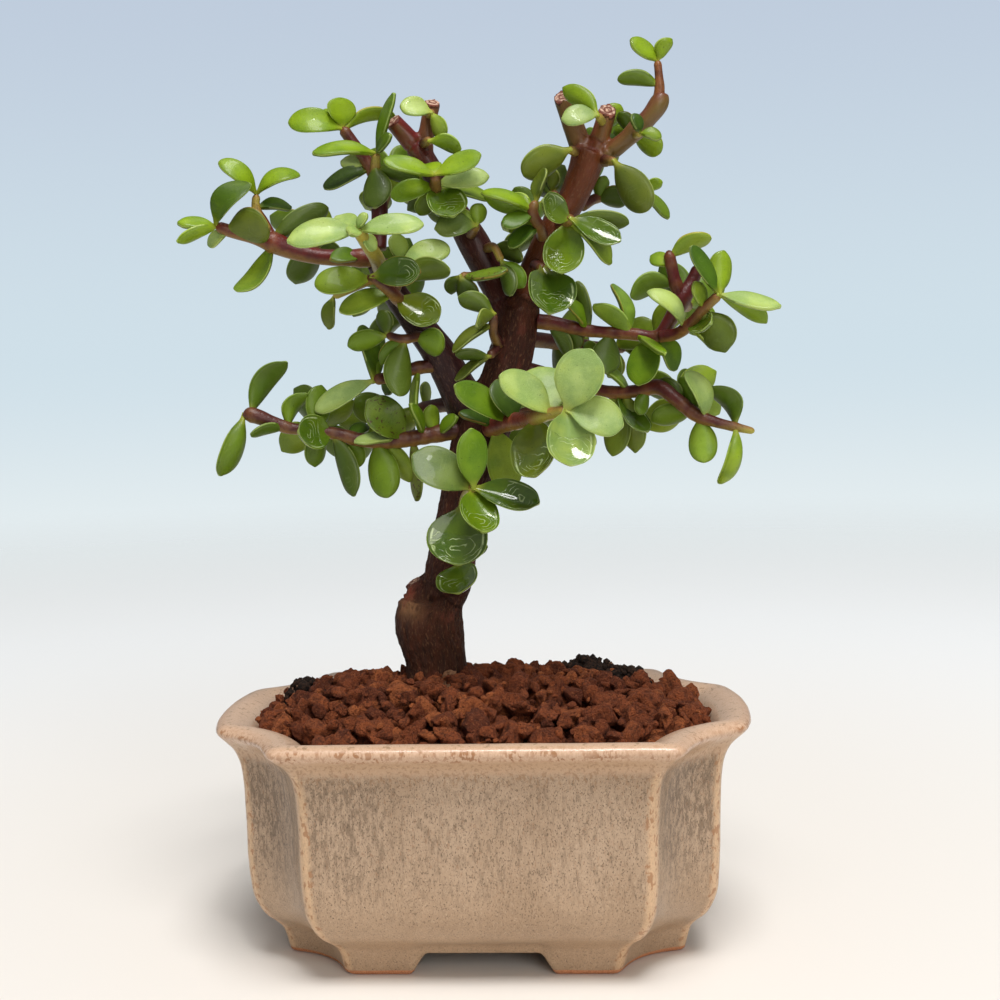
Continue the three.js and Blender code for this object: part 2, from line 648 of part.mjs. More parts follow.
    leaves: [
      [-29.2, 187, -41.4, 188.8, 4, 54, 6.4, 0.12],
      [-29.4, 187.6, -29.8, 194, -4, 62, 7],
      [-29.4, 187.6, -34, 191.8, -34, 58, 3.6],
      [-28.8, 187, -16.6, 190.2, 0, -38, 4.8, 0.16],
      [-22, 181.4, -36, 181.8, 8, 36, 4.6],
      [-21.8, 181.6, -18.4, 194.6, 4, 26, 4.6],
      [-21.6, 181.4, -17.8, 187, 24, 30, 3.4],
      [-23.4, 178, -34, 174, 4, 46, 5],
      [-24, 179, -29.8, 179.4, -28, 58, 4],
      [-21.4, 178.6, -21.8, 169.4, 26, -74, 7],
      [-21.4, 178, -12.2, 175.6, -6, -58, 5],
    ],
  },
  {
    name: "inner_rosette",
    stems: [
      [[-8.6, 172.6, 2.6, 1.5], [-8.6, 173.8, -3, 1.4], [-8.5, 176.4, -7, 1.2]],
    ],
    leaves: [
      [-8.2, 173.4, -4.4, 166.6, 44, 56, 9.4],
      [-9, 176.2, -20, 180.2, 4, 42, 4.8],
      [-8, 176.6, 1.6, 180.6, 4, 52, 5.4],
      [-8.6, 176.8, -12, 181, -30, 58, 5],
      [-9, 173.8, -18.8, 172.2, 8, 60, 5.2],
      [-7.8, 174, 3.4, 175.4, 4, 58, 5],
      [-8, 173.4, 4.4, 170.6, -8, 40, 4.6],
      [-9.2, 173.2, -12.4, 167.4, -14, -60, 4.8],
    ],
  },
  {
    name: "inner_fork_leaves",
    stems: [[[-0.8, 163, 4, 1.4], [0.4, 164.8, -2, 1.1]]],
    leaves: [
      [0.2, 165, -8.8, 164.8, 16, 60, 6],
      [0.8, 165, 1.6, 169.6, -18, -60, 4.4],
      [0.4, 165.4, -3.4, 169.4, -34, -60, 4.6],
    ],
  },
  {
    name: "red_stub_leaves",
    stems: [[[-11, 183.4, 3.2, 1.2], [-9.8, 184, -1.5, 1]]],
    leaves: [[-9.6, 184, -2.8, 181.8, 6, -44, 4.8]],
  },
  {
    name: "brown_stub_leaves",
    stems: [[[-9.6, 189.6, 4, 1], [-9.2, 190.2, 0.5, 0.9]]],
    leaves: [
      [-9.4, 190.4, -16, 192.2, 6, 60, 5],
      [-9, 190, -6.6, 184.4, -8, -60, 4],
    ],
  },
  {
    name: "inner_twig",
    stems: [
      [[4.8, 138, 0.6, 1.4], [3.8, 141, -4, 1.1], [4, 145, -6, 1]],
      [[4.4, 137, -0.4, 1.2], [2.8, 135.4, -4, 1]],
    ],
    leaves: [
      [3.6, 142.6, -5.6, 137, 8, 36, 4.2],
      [2.8, 135.4, -4.8, 136, 6, -34, 4],
      [4, 145, -1.4, 141.8, 20, -44, 4.8],
      [3.9, 145, -3.8, 148.8, 2, -60, 5],
      [2.6, 135, -4.8, 130, -6, 30, 3.4],
    ],
  },
  {
    name: "inner_limb_leaves",
    stems: [[[1.8, 153.6, 4, 1.2], [-1.6, 153.4, -2, 1.1], [-3.4, 153.6, -3.6, 1]]],
    leaves: [
      [-3.2, 153.6, 7, 155.4, 14, 24, 4, -0.08],
      [-3.4, 154, -0.6, 147.2, -14, -58, 5.6],
      [-3.6, 154.2, -6.4, 149, -30, -50, 4.4],
    ],
  },
  {
    name: "centre_dark_leaves",
    stems: [[[2.6, 159.6, 5.4, 1.2], [4.4, 159.8, 1, 1], [6, 156.6, -1, 0.9]]],
    leaves: [
      [3.4, 159.8, 11.6, 156.8, 0, -56, 5.4],
      [5.8, 156.8, 10.6, 151.2, -20, -70, 5],
      [6, 156.4, 8.4, 148.2, 0, -58, 4.6],
    ],
  },
  {
    name: "centre_spray",
    stems: [
      [[15.4, 162, 2.4, 1.5], [14.6, 164.4, -2, 1.3], [13.2, 167.6, -4, 1.2], [14, 170, -4, 1]],
    ],
    leaves: [
      [12.6, 168, 2, 172.2, 6, 36, 4],
      [14, 170, 15.8, 177.2, -10, 34, 4.8],
      [12.8, 167.2, 1.9, 168.8, -8, -60, 5.6],
      [13.4, 167, 6.3, 165.2, 24, 44, 4.6],
      [14.6, 164.2, 7.7, 160, 10, 40, 4.8],
      [14.2, 164.6, 7.2, 163, -20, -60, 4.4],
      [13.2, 168.4, 7.6, 170.4, -32, -60, 4.4],
    ],
  },
  {
    name: "crown_limb_left_shoot",
    stems: [[[19.4, 168.4, 6.6, 1.3], [17.8, 172, 9, 1.1]]],
    leaves: [
      [17.8, 172, 17, 177.4, 10, -50, 4],
      [17.9, 171.8, 21.4, 179.8, -14, -60, 6],
      [17.8, 171.4, 13, 174.6, -30, -60, 5],
    ],
  },
  {
    name: "crown_limb_rosette",
    stems: [[[19.6, 164.6, 1.4, 1.5], [21, 165.2, -5, 1.3], [21.8, 165.8, -9, 1.1]]],
    leaves: [
      [21.4, 166, 15.4, 169.9, 34, 60, 6.8],
      [22, 165.8, 32.6, 160.5, 8, 50, 6.2],
      [21, 165, 19.2, 153.4, 28, 72, 9.4],
      [21.8, 164.6, 30, 155.2, -4, 44, 6, 0.16],
      [21.4, 165.8, 34.6, 165, -14, -56, 5.4],
    ],
  },
  {
    name: "crown_limb_low_leaf",
    stems: [[[13.6, 155.6, 1.8, 1.4], [15.2, 154.8, -4, 1.1]]],
    leaves: [
      [15.4, 154.4, 16.8, 144.6, 38, 66, 11.6],
    ],
  },
  {
    name: "right_upper_branch",
    stems: [
      [
        [14, 143, 4, 1.9], [18, 142.4, 3.5, 1.7], [24, 140.9, 3, 1.5],
        [30, 140.1, 2, 1.4], [36, 139.6, 1, 1.4], [41, 139, 0, 1.6],
        [43.8, 142.6, -0.5, 1.7], [46.6, 147.4, -1, 2.2], [48.6, 150.8, -0.5, 1.6], [50.6, 154.8, 0, 1.5],
      ],
      [[46.4, 147, -1, 1.7], [45, 151.4, -1.5, 1.5], [43.6, 158.2, -2, 1.3]],
      [
        [41.6, 139, -1, 1.5], [45.4, 139.6, -3, 1.4], [48.4, 141.8, -6, 1.3],
        [51.4, 145, -9, 1.2], [55, 148.2, -11, 1.1],
      ],
    ],
    leaves: [
      [51.2, 144.4, 56, 135.6, -12, -66, 8.6],
      [47.2, 142.4, 54.7, 141.5, 32, 52, 6],
      [55.4, 148.2, 68.2, 145, 4, 42, 5],
      [55.4, 147.6, 66.6, 141.6, -14, -50, 5.4],
      [54.6, 148.3, 48.8, 159, 10, 42, 4.8],
      [55.4, 148.8, 55.8, 157.8, -16, -66, 5.8],
      [51, 145.4, 49.7, 151, 14, 40, 4],
      [48.4, 141, 58.2, 136.9, 6, 36, 5.2],
      [46.2, 141.6, 38.8, 149, 16, 42, 5, 0.22],
      [45.2, 150.6, 35, 148.6, 4, -50, 6.6, 0.2],
      [44, 157, 53, 161.2, 2, -42, 5.6],
      [43.8, 155, 39.6, 156.8, -30, 58, 4],
      [40, 138.6, 36, 128.6, 14, 60, 8.2],
      [41.2, 138.4, 44.6, 131.2, -4, 46, 6.6],
      [36, 139.4, 44.4, 134, 36, 20, 3.2],
      [35.2, 140.2, 27.2, 146.8, 14, -46, 6],
      [34.6, 140.6, 31, 152.4, 2, 38, 4.8],
      [33, 140.6, 30.4, 146.6, -28, -58, 4],
      [30.2, 139.4, 29.6, 131, -6, -64, 7.2],
      [25.8, 141.2, 23, 151.6, -4, -38, 4.6],
      [24.8, 140.2, 21.8, 147.8, 24, 28, 4.2],
      [21.6, 140.8, 22.4, 136.6, -26, -60, 4.6],
      [16.2, 141.8, 21, 135.2, -4, -42, 4.8],
    ],
  },
  {
    name: "right_lower_branch",
    stems: [
      [
        [11, 132.4, 8, 1.8], [16, 131, 9, 1.6], [24, 128.2, 8, 1.5],
        [31, 126.6, 6, 1.5], [36, 126.8, 4, 1.6], [41, 127.6, 2, 1.9],
        [45, 124.8, 0, 1.7], [49.8, 121, -1, 1.6], [54, 119.4, -2, 1.3],
        [58.5, 118.2, -2, 1.1], [62.6, 117.2, -2, 0.8],
      ],
      [[24, 128.4, 7, 1.2], [27.4, 132.8, 3, 1]],
    ],
    leaves: [
      [27.6, 133, 35.2, 126.9, 10, 24, 4.4],
      [27.2, 133, 24, 139, -10, -50, 5],
      [49.4, 121.6, 45.6, 129.4, -18, -64, 5.4],
      [51.6, 120.6, 47.8, 131.2, 8, 46, 6.2, 0.16],
      [58.4, 118.8, 53, 127.6, 0, -48, 6.4, 0.28],
      [50, 119.8, 50.7, 110.3, 4, -80, 6.6],
      [58, 118, 54.2, 105.6, 4, -42, 5, -0.22],
      [48, 121.4, 39.6, 119.8, -22, -60, 6],
      [46.6, 123.6, 41.8, 129, -30, -50, 4.4],
      [38.6, 126.4, 37, 121.4, 16, -58, 4],
      [31.6, 125.8, 38.4, 117.4, 14, 46, 6],
      [30.4, 126, 31, 112.4, -6, -62, 7.4],
      [33.4, 126, 35.6, 113.4, -16, -62, 6.8],
    ],
  },
  {
    name: "crown_tip_shoot",
    stems: [[[42.8, 193.6, 2, 1], [42.4, 195.4, 2, 1], [41.6, 200.2, 2, 0.9]]],
    leaves: [
      [42, 194.8, 32.8, 196.8, 2, -50, 4.4],
      [41.6, 200, 36, 205.2, 2, 52, 4.4],
      [41.6, 200.2, 43.4, 205.4, -6, -54, 4.2],
    ],
  },
  {
    name: "crown_right_shoot",
    stems: [[[36.6, 184.2, 0.4, 1.1], [37.6, 184.4, -3, 0.9]]],
    leaves: [
      [37.6, 184.5, 36.1, 188.6, 8, 36, 3.6],
      [37.8, 184.3, 42.2, 183.2, 8, 40, 3.6],
    ],
  },
  {
    name: "crown_right_back_shoot",
    stems: [[[35.4, 184.4, 6, 1.2], [36, 184, 10.5, 1]]],
    leaves: [
      [36, 183.8, 42.2, 180, 0, -70, 5.6],
      [35.8, 184.4, 33.4, 189.2, 0, -60, 4],
      [35.8, 184, 30.6, 184.6, -10, -60, 4],
    ],
  },
  {
    name: "crown_right_leaf",
    stems: [[[29.2, 178.8, 3.6, 1.3], [31.8, 178.2, -2, 1]]],
    leaves: [[31.8, 178, 38.6, 166.8, 6, -70, 8]],
  },
  {
    name: "crown_left_leaf",
    stems: [[[23, 180.6, 1.6, 1.2], [21.8, 181.2, -1.5, 1]]],
    leaves: [[21.6, 181.4, 11.2, 175.6, 4, -60, 8]],
  },
  {
    name: "crown_middle_leaves",
    stems: [[[29.2, 187, 1.8, 1], [28.2, 188.6, -1.5, 0.9]]],
    leaves: [
      [28, 188.8, 20.2, 188.2, 12, 56, 5.2],
      [28, 189, 20.6, 195.2, -26, -64, 5],
    ],
  },
  {
    name: "crown_back_leaves",
    stems: [[[29.4, 184, 7.4, 1.2], [29.8, 185.4, 12, 1]]],
    leaves: [
      [29.8, 185.8, 33.4, 190.8, 0, -64, 5],
      [30, 185, 33, 180, -20, 60, 5],
    ],
  },
  {
    name: "crown_limb_right_shoot",
    stems: [
      [[24.4, 168.6, 8.6, 1.4], [27.6, 170.2, 12, 1.2], [33, 170.6, 16, 1.1], [38.6, 172, 19, 1]],
    ],
    leaves: [
      [27.6, 171.4, 34.7, 170, 4, -60, 5.8],
      [27.6, 171, 29.6, 175, 0, -58, 4],
      [37.4, 171.6, 43.8, 165.6, 10, 32, 3.8],
      [38.6, 172.2, 42.2, 173.8, 0, -58, 3.4],
    ],
  },
];

// Shoots behind the trunk. Each is a stem with leaves set on it by rule: pairs set crosswise.
// name of the spray it belongs to, points, spacing of the pairs, length of a leaf, seed.
const GROWN = [
  [
    "back_left_spray",
    [[-11.6, 140.6, 7, 1.8], [-15.4, 145, 15, 1.7], [-19.6, 149, 24, 1.5], [-22.6, 151.6, 33, 1.2]],
    9.0, 11.5, 11,
  ],
  [
    "back_left_low_spray",
    [[-3.4, 125, 9, 2], [-11, 124, 15, 1.8], [-19, 121.6, 23, 1.5], [-25.4, 119.6, 30, 1.2]],
    9.3, 11, 12,
  ],
  [
    "back_trunk_spray",
    [[1.6, 120.5, 9, 2.2], [6, 122.6, 19, 2], [11.4, 123.4, 30, 1.6], [15, 123.6, 39, 1.2]],
    9.5, 12, 13,
  ],
  [
    "back_right_spray",
    [[9, 139.4, 9, 2.1], [17, 138.4, 16, 1.9], [26, 137, 24, 1.6], [33.6, 136.4, 31, 1.2]],
    9.3, 11.5, 14,
  ],
  [
    "back_crown_spray",
    [[15, 158, 8, 1.8], [15, 161.6, 16, 1.7], [14, 164.4, 25, 1.4], [12.6, 165.4, 33, 1.1]],
    8.8, 11, 15,
  ],
  [
    "back_inner_spray",
    [[-3.4, 166.6, 9, 1.6], [-5.8, 170, 17, 1.5], [-7.8, 172.4, 25, 1.3], [-9.8, 173.6, 32, 1.1]],
    8.8, 10.5, 16,
  ],
  [
    "right_upper_branch",
    [[46.6, 147.4, 0, 1.5], [47.4, 146, 8, 1.4], [47.6, 145.6, 16, 1.3], [47, 146.6, 24, 1.1]],
    8.5, 10.5, 17,
  ],
  [
    "left_long_branch",
    [[-38, 119.2, -1, 1.3], [-38.4, 119.6, 6, 1.3], [-37.4, 120.2, 14, 1.2], [-36, 121, 22, 1]],
    8.5, 10.5, 18,
  ],
  [
    "right_lower_branch",
    [[45, 124.8, 1, 1.4], [46, 124.4, 9, 1.3], [46.4, 124.4, 17, 1.2], [46, 125.4, 25, 1]],
    8.5, 10.5, 19,
  ],
  [
    "left_upper_branch",
    [[-35, 158.6, 0, 1.5], [-36, 159.6, 8, 1.4], [-37.4, 161, 16, 1.2], [-38.6, 163, 23, 1]],
    8.8, 10, 20,
  ],
  [
    "back_crown_high_spray",
    [[27.2, 178, 7, 1.8], [28, 180.4, 14, 1.4], [28.4, 180.6, 20, 1]],
    8.5, 9.5, 21,
  ],
  [
    "upper_left_shoot",
    [[-21.6, 168, 4, 1.3], [-20, 171.4, 11, 1.2], [-18.6, 174.4, 18, 1.1], [-18, 177, 25, 0.9]],
    8.5, 9.5, 22,
  ],
];
const PAIR_SPREAD = 58;             // degrees between a leaf and the stem it stands on
const TIP_SPREAD = 38;              // the same for the pair at the tip
const SKYWARD = 0.5;                // how far the faces turn up toward the light
const TIP_SIZE = 0.78;              // size of the pair at the tip against the others
const GROWN_LENGTH = [0.86, 1.14];  // least and greatest length against the row's
const GROWN_WIDTH = [0.6, 0.74];    // least and greatest width against the length
const LEAF_SPANS = [4, 15];         // least and greatest length of a drawn leaf

// The leaves of a grown stem.
function grownLeaves([, points, spacing, size, seed]) {
  const line = points.map(place);
  const stops = [];
  let walked = spacing * 0.3;
  for (let i = 0; i + 1 < line.length; i += 1) {
    const span = length(sub(line[i + 1], line[i]));
    for (; walked < span; walked += spacing) {
      stops.push([mix(line[i], line[i + 1], walked / span), unit(sub(line[i + 1], line[i]))]);
    }
    walked -= span;
  }
  const end = line.length - 1;
  const tip = [line[end], unit(sub(line[end], line[end - 1]))];
  return [...stops.slice(1), tip].flatMap(([base, stemward], order, all) => {
    const last = order === all.length - 1;
    const spread = radians(last ? TIP_SPREAD : PAIR_SPREAD);
    const turn = radians(90 * order + 40 * draw(seed + order));
    const level = across([0.4, 0.1, 1], stemward);
    const out = turned(level, stemward, turn);
    return [1, -1].map((sign) => {
      const along = unit(add(mul(stemward, Math.cos(spread)), mul(out, sign * Math.sin(spread))));
      const face = across(add(stemward, [0, 0, SKYWARD]), along);
      const full = size * (last ? TIP_SIZE : 1);
      const span = full * between(GROWN_LENGTH, draw(seed + order + 0.5 * sign));
      const width = span * between(GROWN_WIDTH, draw(seed + order + 0.3 * sign));
      return { base, along, face, bend: face, length: span, width, arch: LEAF_ARCH };
    });
  });
}

// Where the nearest point of a spray's stems lies to a front-view point.
function onStem(spray, x, z) {
  let best = null;
  for (const points of spray.stems) {
    for (let i = 0; i + 1 < points.length; i += 1) {
      const [a, b] = [points[i], points[i + 1]];
      const dx = b[0] - a[0];
      const dz = b[1] - a[1];
      const t = Math.min(1, Math.max(0, ((x - a[0]) * dx + (z - a[1]) * dz) / (dx * dx + dz * dz)));
      const miss = Math.hypot(a[0] + dx * t - x, a[1] + dz * t - z);
      if (best === null || miss < best.miss) {
        best = { miss, at: a.map((v, k) => v + (b[k] - v) * t) };
      }
    }
  }
  return best.at;
}

// A leaf written in the front view.
function drawnLeaf(spray, [bx, bz, tx, tz, lean, facing, width, arch = LEAF_ARCH]) {
  const root = onStem(spray, bx, bz);
  const base = place(root);
  const tip = place([tx, tz, root[2]]);
  const toEye = unit(sub(EYE, base));
  const flat = sub(sub(tip, base), mul(toEye, dot(sub(tip, base), toEye)));
  const outward = unit(flat);
  const along = add(mul(outward, Math.cos(radians(lean))), mul(toEye, Math.sin(radians(lean))));
  const front = across(toEye, along);
  let up = cross(along, front);
  if (up[2] < 0) {
    up = mul(up, -1);
  }
  const face = add(mul(up, Math.cos(radians(facing))), mul(front, Math.sin(radians(facing))));
  const [least, most] = LEAF_SPANS;
  const span = Math.min(most, Math.max(least, length(flat) / Math.cos(radians(lean))));
  return { base, along, face, bend: toEye, length: span, width, arch };
}

// ---------------------------------------------------------------- clearing crossings
const CLEAR = 0.45;                 // wanted room to the leaves of another spray
const OWN_CLEAR = -0.5;             // leaves of one spray are fused and may touch
const SAMPLES_ALONG = [0.3, 0.45, 0.6, 0.75, 0.88, 1];
const SAMPLES_ACROSS = [-1, -0.5, 0, 0.5, 1];
const BENDS = [0, 6, -6, 12, -12, 18, -18, 25, -25, 33, -33, 42, -42];
const TURNS = [0, 5, -5, 10, -10, 16, -16, 24, -24, 34, -34];
const SIZES = [1, 0.92, 0.84, 0.75, 0.66];
const changeCost = (bend, turn, size) =>
  5 * Math.abs(bend) + 9 * Math.abs(turn) + Math.round(1000 * (1 - size));
// [bend, turn, size] to try, the least change first
const TRIES = SIZES.flatMap((size) => TURNS.flatMap((turn) => BENDS.map((bend) => [bend, turn, size])))
  .map((change) => [change, changeCost(...change)])
  .sort((a, b) => a[1] - b[1])
  .map(([change]) => change);

function samplesOf(leaf) {
  const side = cross(leaf.along, leaf.face);
  const points = [];
  for (const t of SAMPLES_ALONG) {
    const half = leafHalfWidth(leaf, t);
    for (const s of SAMPLES_ACROSS) {
      const up = leafRise(leaf, t);
      const middle = add(leaf.base, mul(leaf.along, t * leaf.length));
      points.push(add(add(middle, mul(side, s * half)), mul(leaf.face, up)));
    }
  }
  return points;
}

function pointInLeaf(point, leaf, clear) {
  const from = sub(point, leaf.base);
  const t = dot(from, leaf.along) / leaf.length;
  if (t < 0 || t > 1.04) {
    return false;
  }
  const half = leafHalfWidth(leaf, Math.min(t, 1)) + clear;
  const v = dot(from, cross(leaf.along, leaf.face));
  if (Math.abs(v) > half) {
    return false;
  }
  const w = dot(from, leaf.face) - leafRise(leaf, t);
  return Math.abs(w) < LEAF_THICK + clear;
}

function stemDistance(point, a, b) {
  const ab = sub(b, a);
  const t = Math.min(1, Math.max(0, dot(sub(point, a), ab) / dot(ab, ab)));
  return { miss: length(sub(point, add(a, mul(ab, t)))), t };
}

// True where the leaf would touch a stem or a leaf that already stands.
function crosses(leaf, placed, bones, owner) {
  const samples = samplesOf(leaf);
  for (const bone of bones) {
    if (bone.owner === owner) {
      continue;
    }
    const reach = leaf.length + bone.radius + 3 + length(sub(bone.b, bone.a));
    if (length(sub(bone.a, leaf.base)) > reach) {
      continue;
    }
    for (const point of samples) {
      if (stemDistance(point, bone.a, bone.b).miss < bone.radius + 0.55 * LEAF_THICK + CLEAR) {
        return true;
      }
    }
  }
  for (const other of placed) {
    if (length(sub(other.base, leaf.base)) > leaf.length + other.length + 2) {
      continue;
    }
    const clear = other.owner === owner ? OWN_CLEAR : CLEAR;
    if (samples.some((point) => pointInLeaf(point, other, clear))) {
      return true;
    }
    if (other.samples.some((point) => pointInLeaf(point, leaf, clear))) {
      return true;
    }
  }
  return false;
}

function bent(leaf, bend, turn, size) {
  const hinge = unit(cross(leaf.along, leaf.bend));
  let along = turned(leaf.along, hinge, radians(bend));
  let face = turned(leaf.face, hinge, radians(bend));
  along = turned(along, leaf.bend, radians(turn));
  face = turned(face, leaf.bend, radians(turn));
  return { ...leaf, along, face, length: leaf.length * size, width: leaf.width * size };
}

// The leaf as written, or the least changed copy of it that stands clear.
function cleared(leaf, placed, bones, owner) {
  for (const [bend, turn, size] of TRIES) {
    const tried = bent(leaf, bend, turn, size);
    if (!crosses(tried, placed, bones, owner)) {
      return tried;
    }
  }
  return null;
}

function bonesOf(stems, owner) {
  const bones = [];
  for (const points of stems) {
    for (let i = 0; i + 1 < points.length; i += 1) {
      bones.push({
        a: place(points[i]),
        b: place(points[i + 1]),
        radius: Math.max(points[i][3], points[i + 1][3]),
        owner,
      });
    }
  }
  return bones;
}

// Every leaf of the plant, the drawn ones first.
function layLeaves() {
  const bones = bonesOf(Object.values(TRUNK), "trunk");
  const wanted = [];
  for (const spray of SPRAYS) {
    bones.push(...bonesOf(spray.stems, spray.name));
    wanted.push(...spray.leaves.map((row) => [spray.name, drawnLeaf(spray, row)]));
  }
  for (const row of GROWN) {
    bones.push(...bonesOf([row[1]], row[0]));
    wanted.push(...grownLeaves(row).map((leaf) => [row[0], leaf]));
  }
  const placed = [];
  for (const [owner, leaf] of wanted) {
    const found = cleared(leaf, placed, bones, owner);
    if (found !== null) {
      placed.push({ ...found, samples: samplesOf(found), owner });
    }
  }
  return placed;
}

// ---------------------------------------------------------------- the scene graph
const LOOKS = {
  glaze: { color: 0xb9a78d, roughness: 0.35, metalness: 0 },
  plastic: { color: 0x1d1f1e, roughness: 0.6, metalness: 0 },
  compost: { color: 0x1f1610, roughness: 1, metalness: 0 },
  granules: { color: 0x7c3f22, roughness: 0.95, metalness: 0 },
  bark: { color: 0x4a2c20, roughness: 0.85, metalness: 0 },
  leaf: { color: 0x6f9c34, roughness: 0.45, metalness: 0 },
};

// A leafy stem: its drawn and grown stems with their leaves, cut clear of the trunk.
function makeSpray(name, leaves, trunkCutter) {
  const drawn = SPRAYS.filter((spray) => spray.name === name).flatMap((spray) => spray.stems);
  const grown = GROWN.filter((row) => row[0] === name).map((row) => row[1]);
  const stems = [...drawn, ...grown].map((points) => stem(points, STEM_SIDES));
  const blades = leaves.filter((leaf) => leaf.owner === name).map(makeLeaf);
  return mainBody(union([...stems, ...blades]).subtract(trunkCutter));
}

// [name, solid, look, place of the mesh] of every piece.
function makePieces() {
  const trunkCutter = makeTrunk(GAP);
  const leaves = layLeaves();
  const names = new Set([...SPRAYS.map((spray) => spray.name), ...GROWN.map((row) => row[0])]);
  const drainMesh = makeDrainMesh();
  const meshZ = POT.floorTop + GAP + MESH_THICK / 2;
  return [
    ["pot", makePot(), "glaze"],
    ["drain_mesh_left", drainMesh, "plastic", [-POT.drainX, 0, meshZ]],
    ["drain_mesh_right", drainMesh, "plastic", [POT.drainX, 0, meshZ]],
    ["compost", makeCompost(trunkCutter), "compost"],
    ["granules", makeGranules(trunkCutter), "granules"],
    ["trunk", makeTrunk(0), "bark"],
    ...[...names].map((name) => [name, makeSpray(name, leaves, trunkCutter), "leaf"]),
  ];
}

function toMesh(name, made, look) {
  const { vertProperties, triVerts } = made.getMesh();
  const geometry = new THREE.BufferGeometry();
  geometry.setAttribute("position", new THREE.BufferAttribute(new Float32Array(vertProperties), 3));
  geometry.setIndex(new THREE.BufferAttribute(new Uint32Array(triVerts), 1));
  geometry.computeVertexNormals();
  const mesh = new THREE.Mesh(geometry, new THREE.MeshStandardMaterial(LOOKS[look]));
  mesh.name = name;
  return mesh;
}

// Every piece in the pot's own frame, and the whole moved so that it is centred over the origin on z = 0.
function build() {
  const bonsai = new THREE.Group();
  for (const [name, made, look, at] of makePieces()) {
    const mesh = toMesh(name, made, look);
    mesh.position.set(...(at || [0, 0, 0]));
    bonsai.add(mesh);
  }
  const box = new THREE.Box3().setFromObject(bonsai, true);
  const middle = box.getCenter(new THREE.Vector3());
  bonsai.position.set(-middle.x, -middle.y, -box.min.z);
  return new THREE.Group().add(bonsai);
}

export default build();
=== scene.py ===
"""Looks of a dwarf jade bonsai in its glazed pot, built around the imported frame.

Lengths are millimetres in the pot's own frame until a piece is made, when they become metres in the
frame's own axes. The plant is set out as a front view: a point is written [x, z, depth, radius], where
x and z are the place at which its line of sight from EYE crosses the plane y = 0, and depth is its y.
"""
import math

import bmesh
import bpy
import numpy as np
from bpy.props import FloatProperty, FloatVectorProperty, IntProperty, PointerProperty
from mathutils import Matrix, Vector, noise


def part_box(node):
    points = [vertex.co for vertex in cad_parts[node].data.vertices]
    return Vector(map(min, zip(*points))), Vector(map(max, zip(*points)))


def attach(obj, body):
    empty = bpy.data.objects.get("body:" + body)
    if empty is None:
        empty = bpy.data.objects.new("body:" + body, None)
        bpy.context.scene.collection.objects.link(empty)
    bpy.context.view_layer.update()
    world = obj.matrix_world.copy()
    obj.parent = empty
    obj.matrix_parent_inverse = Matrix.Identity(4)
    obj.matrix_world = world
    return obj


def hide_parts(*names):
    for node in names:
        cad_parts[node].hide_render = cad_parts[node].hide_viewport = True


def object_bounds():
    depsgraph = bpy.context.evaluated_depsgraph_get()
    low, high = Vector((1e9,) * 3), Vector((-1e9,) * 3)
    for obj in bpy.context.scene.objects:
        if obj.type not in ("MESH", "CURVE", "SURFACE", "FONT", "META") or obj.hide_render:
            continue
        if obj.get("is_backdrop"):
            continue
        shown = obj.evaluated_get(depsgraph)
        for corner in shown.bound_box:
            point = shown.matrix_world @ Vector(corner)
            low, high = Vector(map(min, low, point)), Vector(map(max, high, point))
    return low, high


bl_info = {
    "name": "Dwarf jade bonsai",
    "version": (1, 0),
    "blender": (4, 5, 0),
    "location": "3D View > Sidebar > Bonsai",
    "description": "Builds the pot, the soil, the trunk and the leafy stems of a small potted tree",
    "category": "Object",
}

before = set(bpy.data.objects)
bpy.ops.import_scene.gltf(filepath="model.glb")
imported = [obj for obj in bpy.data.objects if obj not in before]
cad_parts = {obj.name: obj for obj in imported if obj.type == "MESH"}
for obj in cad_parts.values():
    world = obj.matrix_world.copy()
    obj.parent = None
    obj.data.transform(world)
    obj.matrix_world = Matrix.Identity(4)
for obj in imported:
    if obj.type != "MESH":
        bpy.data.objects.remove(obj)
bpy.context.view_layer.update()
MM = 0.001
POT_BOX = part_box("pot")
POT_PLACE = np.array([*((POT_BOX[0] + POT_BOX[1]) / 2).xy, 0.0])

EYE = np.array([20.0, -342.0, 131.0])
SEED = 11

# ---------------------------------------------------------------- the pot's sizes, millimetres
CUT_X = 15.0
CORNER_HOLLOW = 3.0
FLOOR_TOP = 14.0
FLOOR_UNDER = 8.6
FOOT_TOP = 9.2
FOOT_HALF_X = 46.0
FOOT_HALF_Y = 24.4
FOOT_WALL = 7.0
ARCH_HEIGHT = 4.8
# an arch between the feet: half its length, how softly it ends, and how far out at least its wall lies
FRONT_ARCH = (14.3, 2.0, 14.0)
SIDE_ARCH = (5.0, 1.6, 30.0)
LIP_FOOT = 51.5
RIDGE_REACH = 2.6
DRAIN_RADIUS = 5.0
DRAIN_X = 22.0
DRAIN_SIDES = 64
DRAIN_OVERCUT = 3.0
# steps of the outline along half the front, a cut corner and half a side
FRONT_STEPS = 44
CORNER_STEPS = 30
SIDE_STEPS = 22
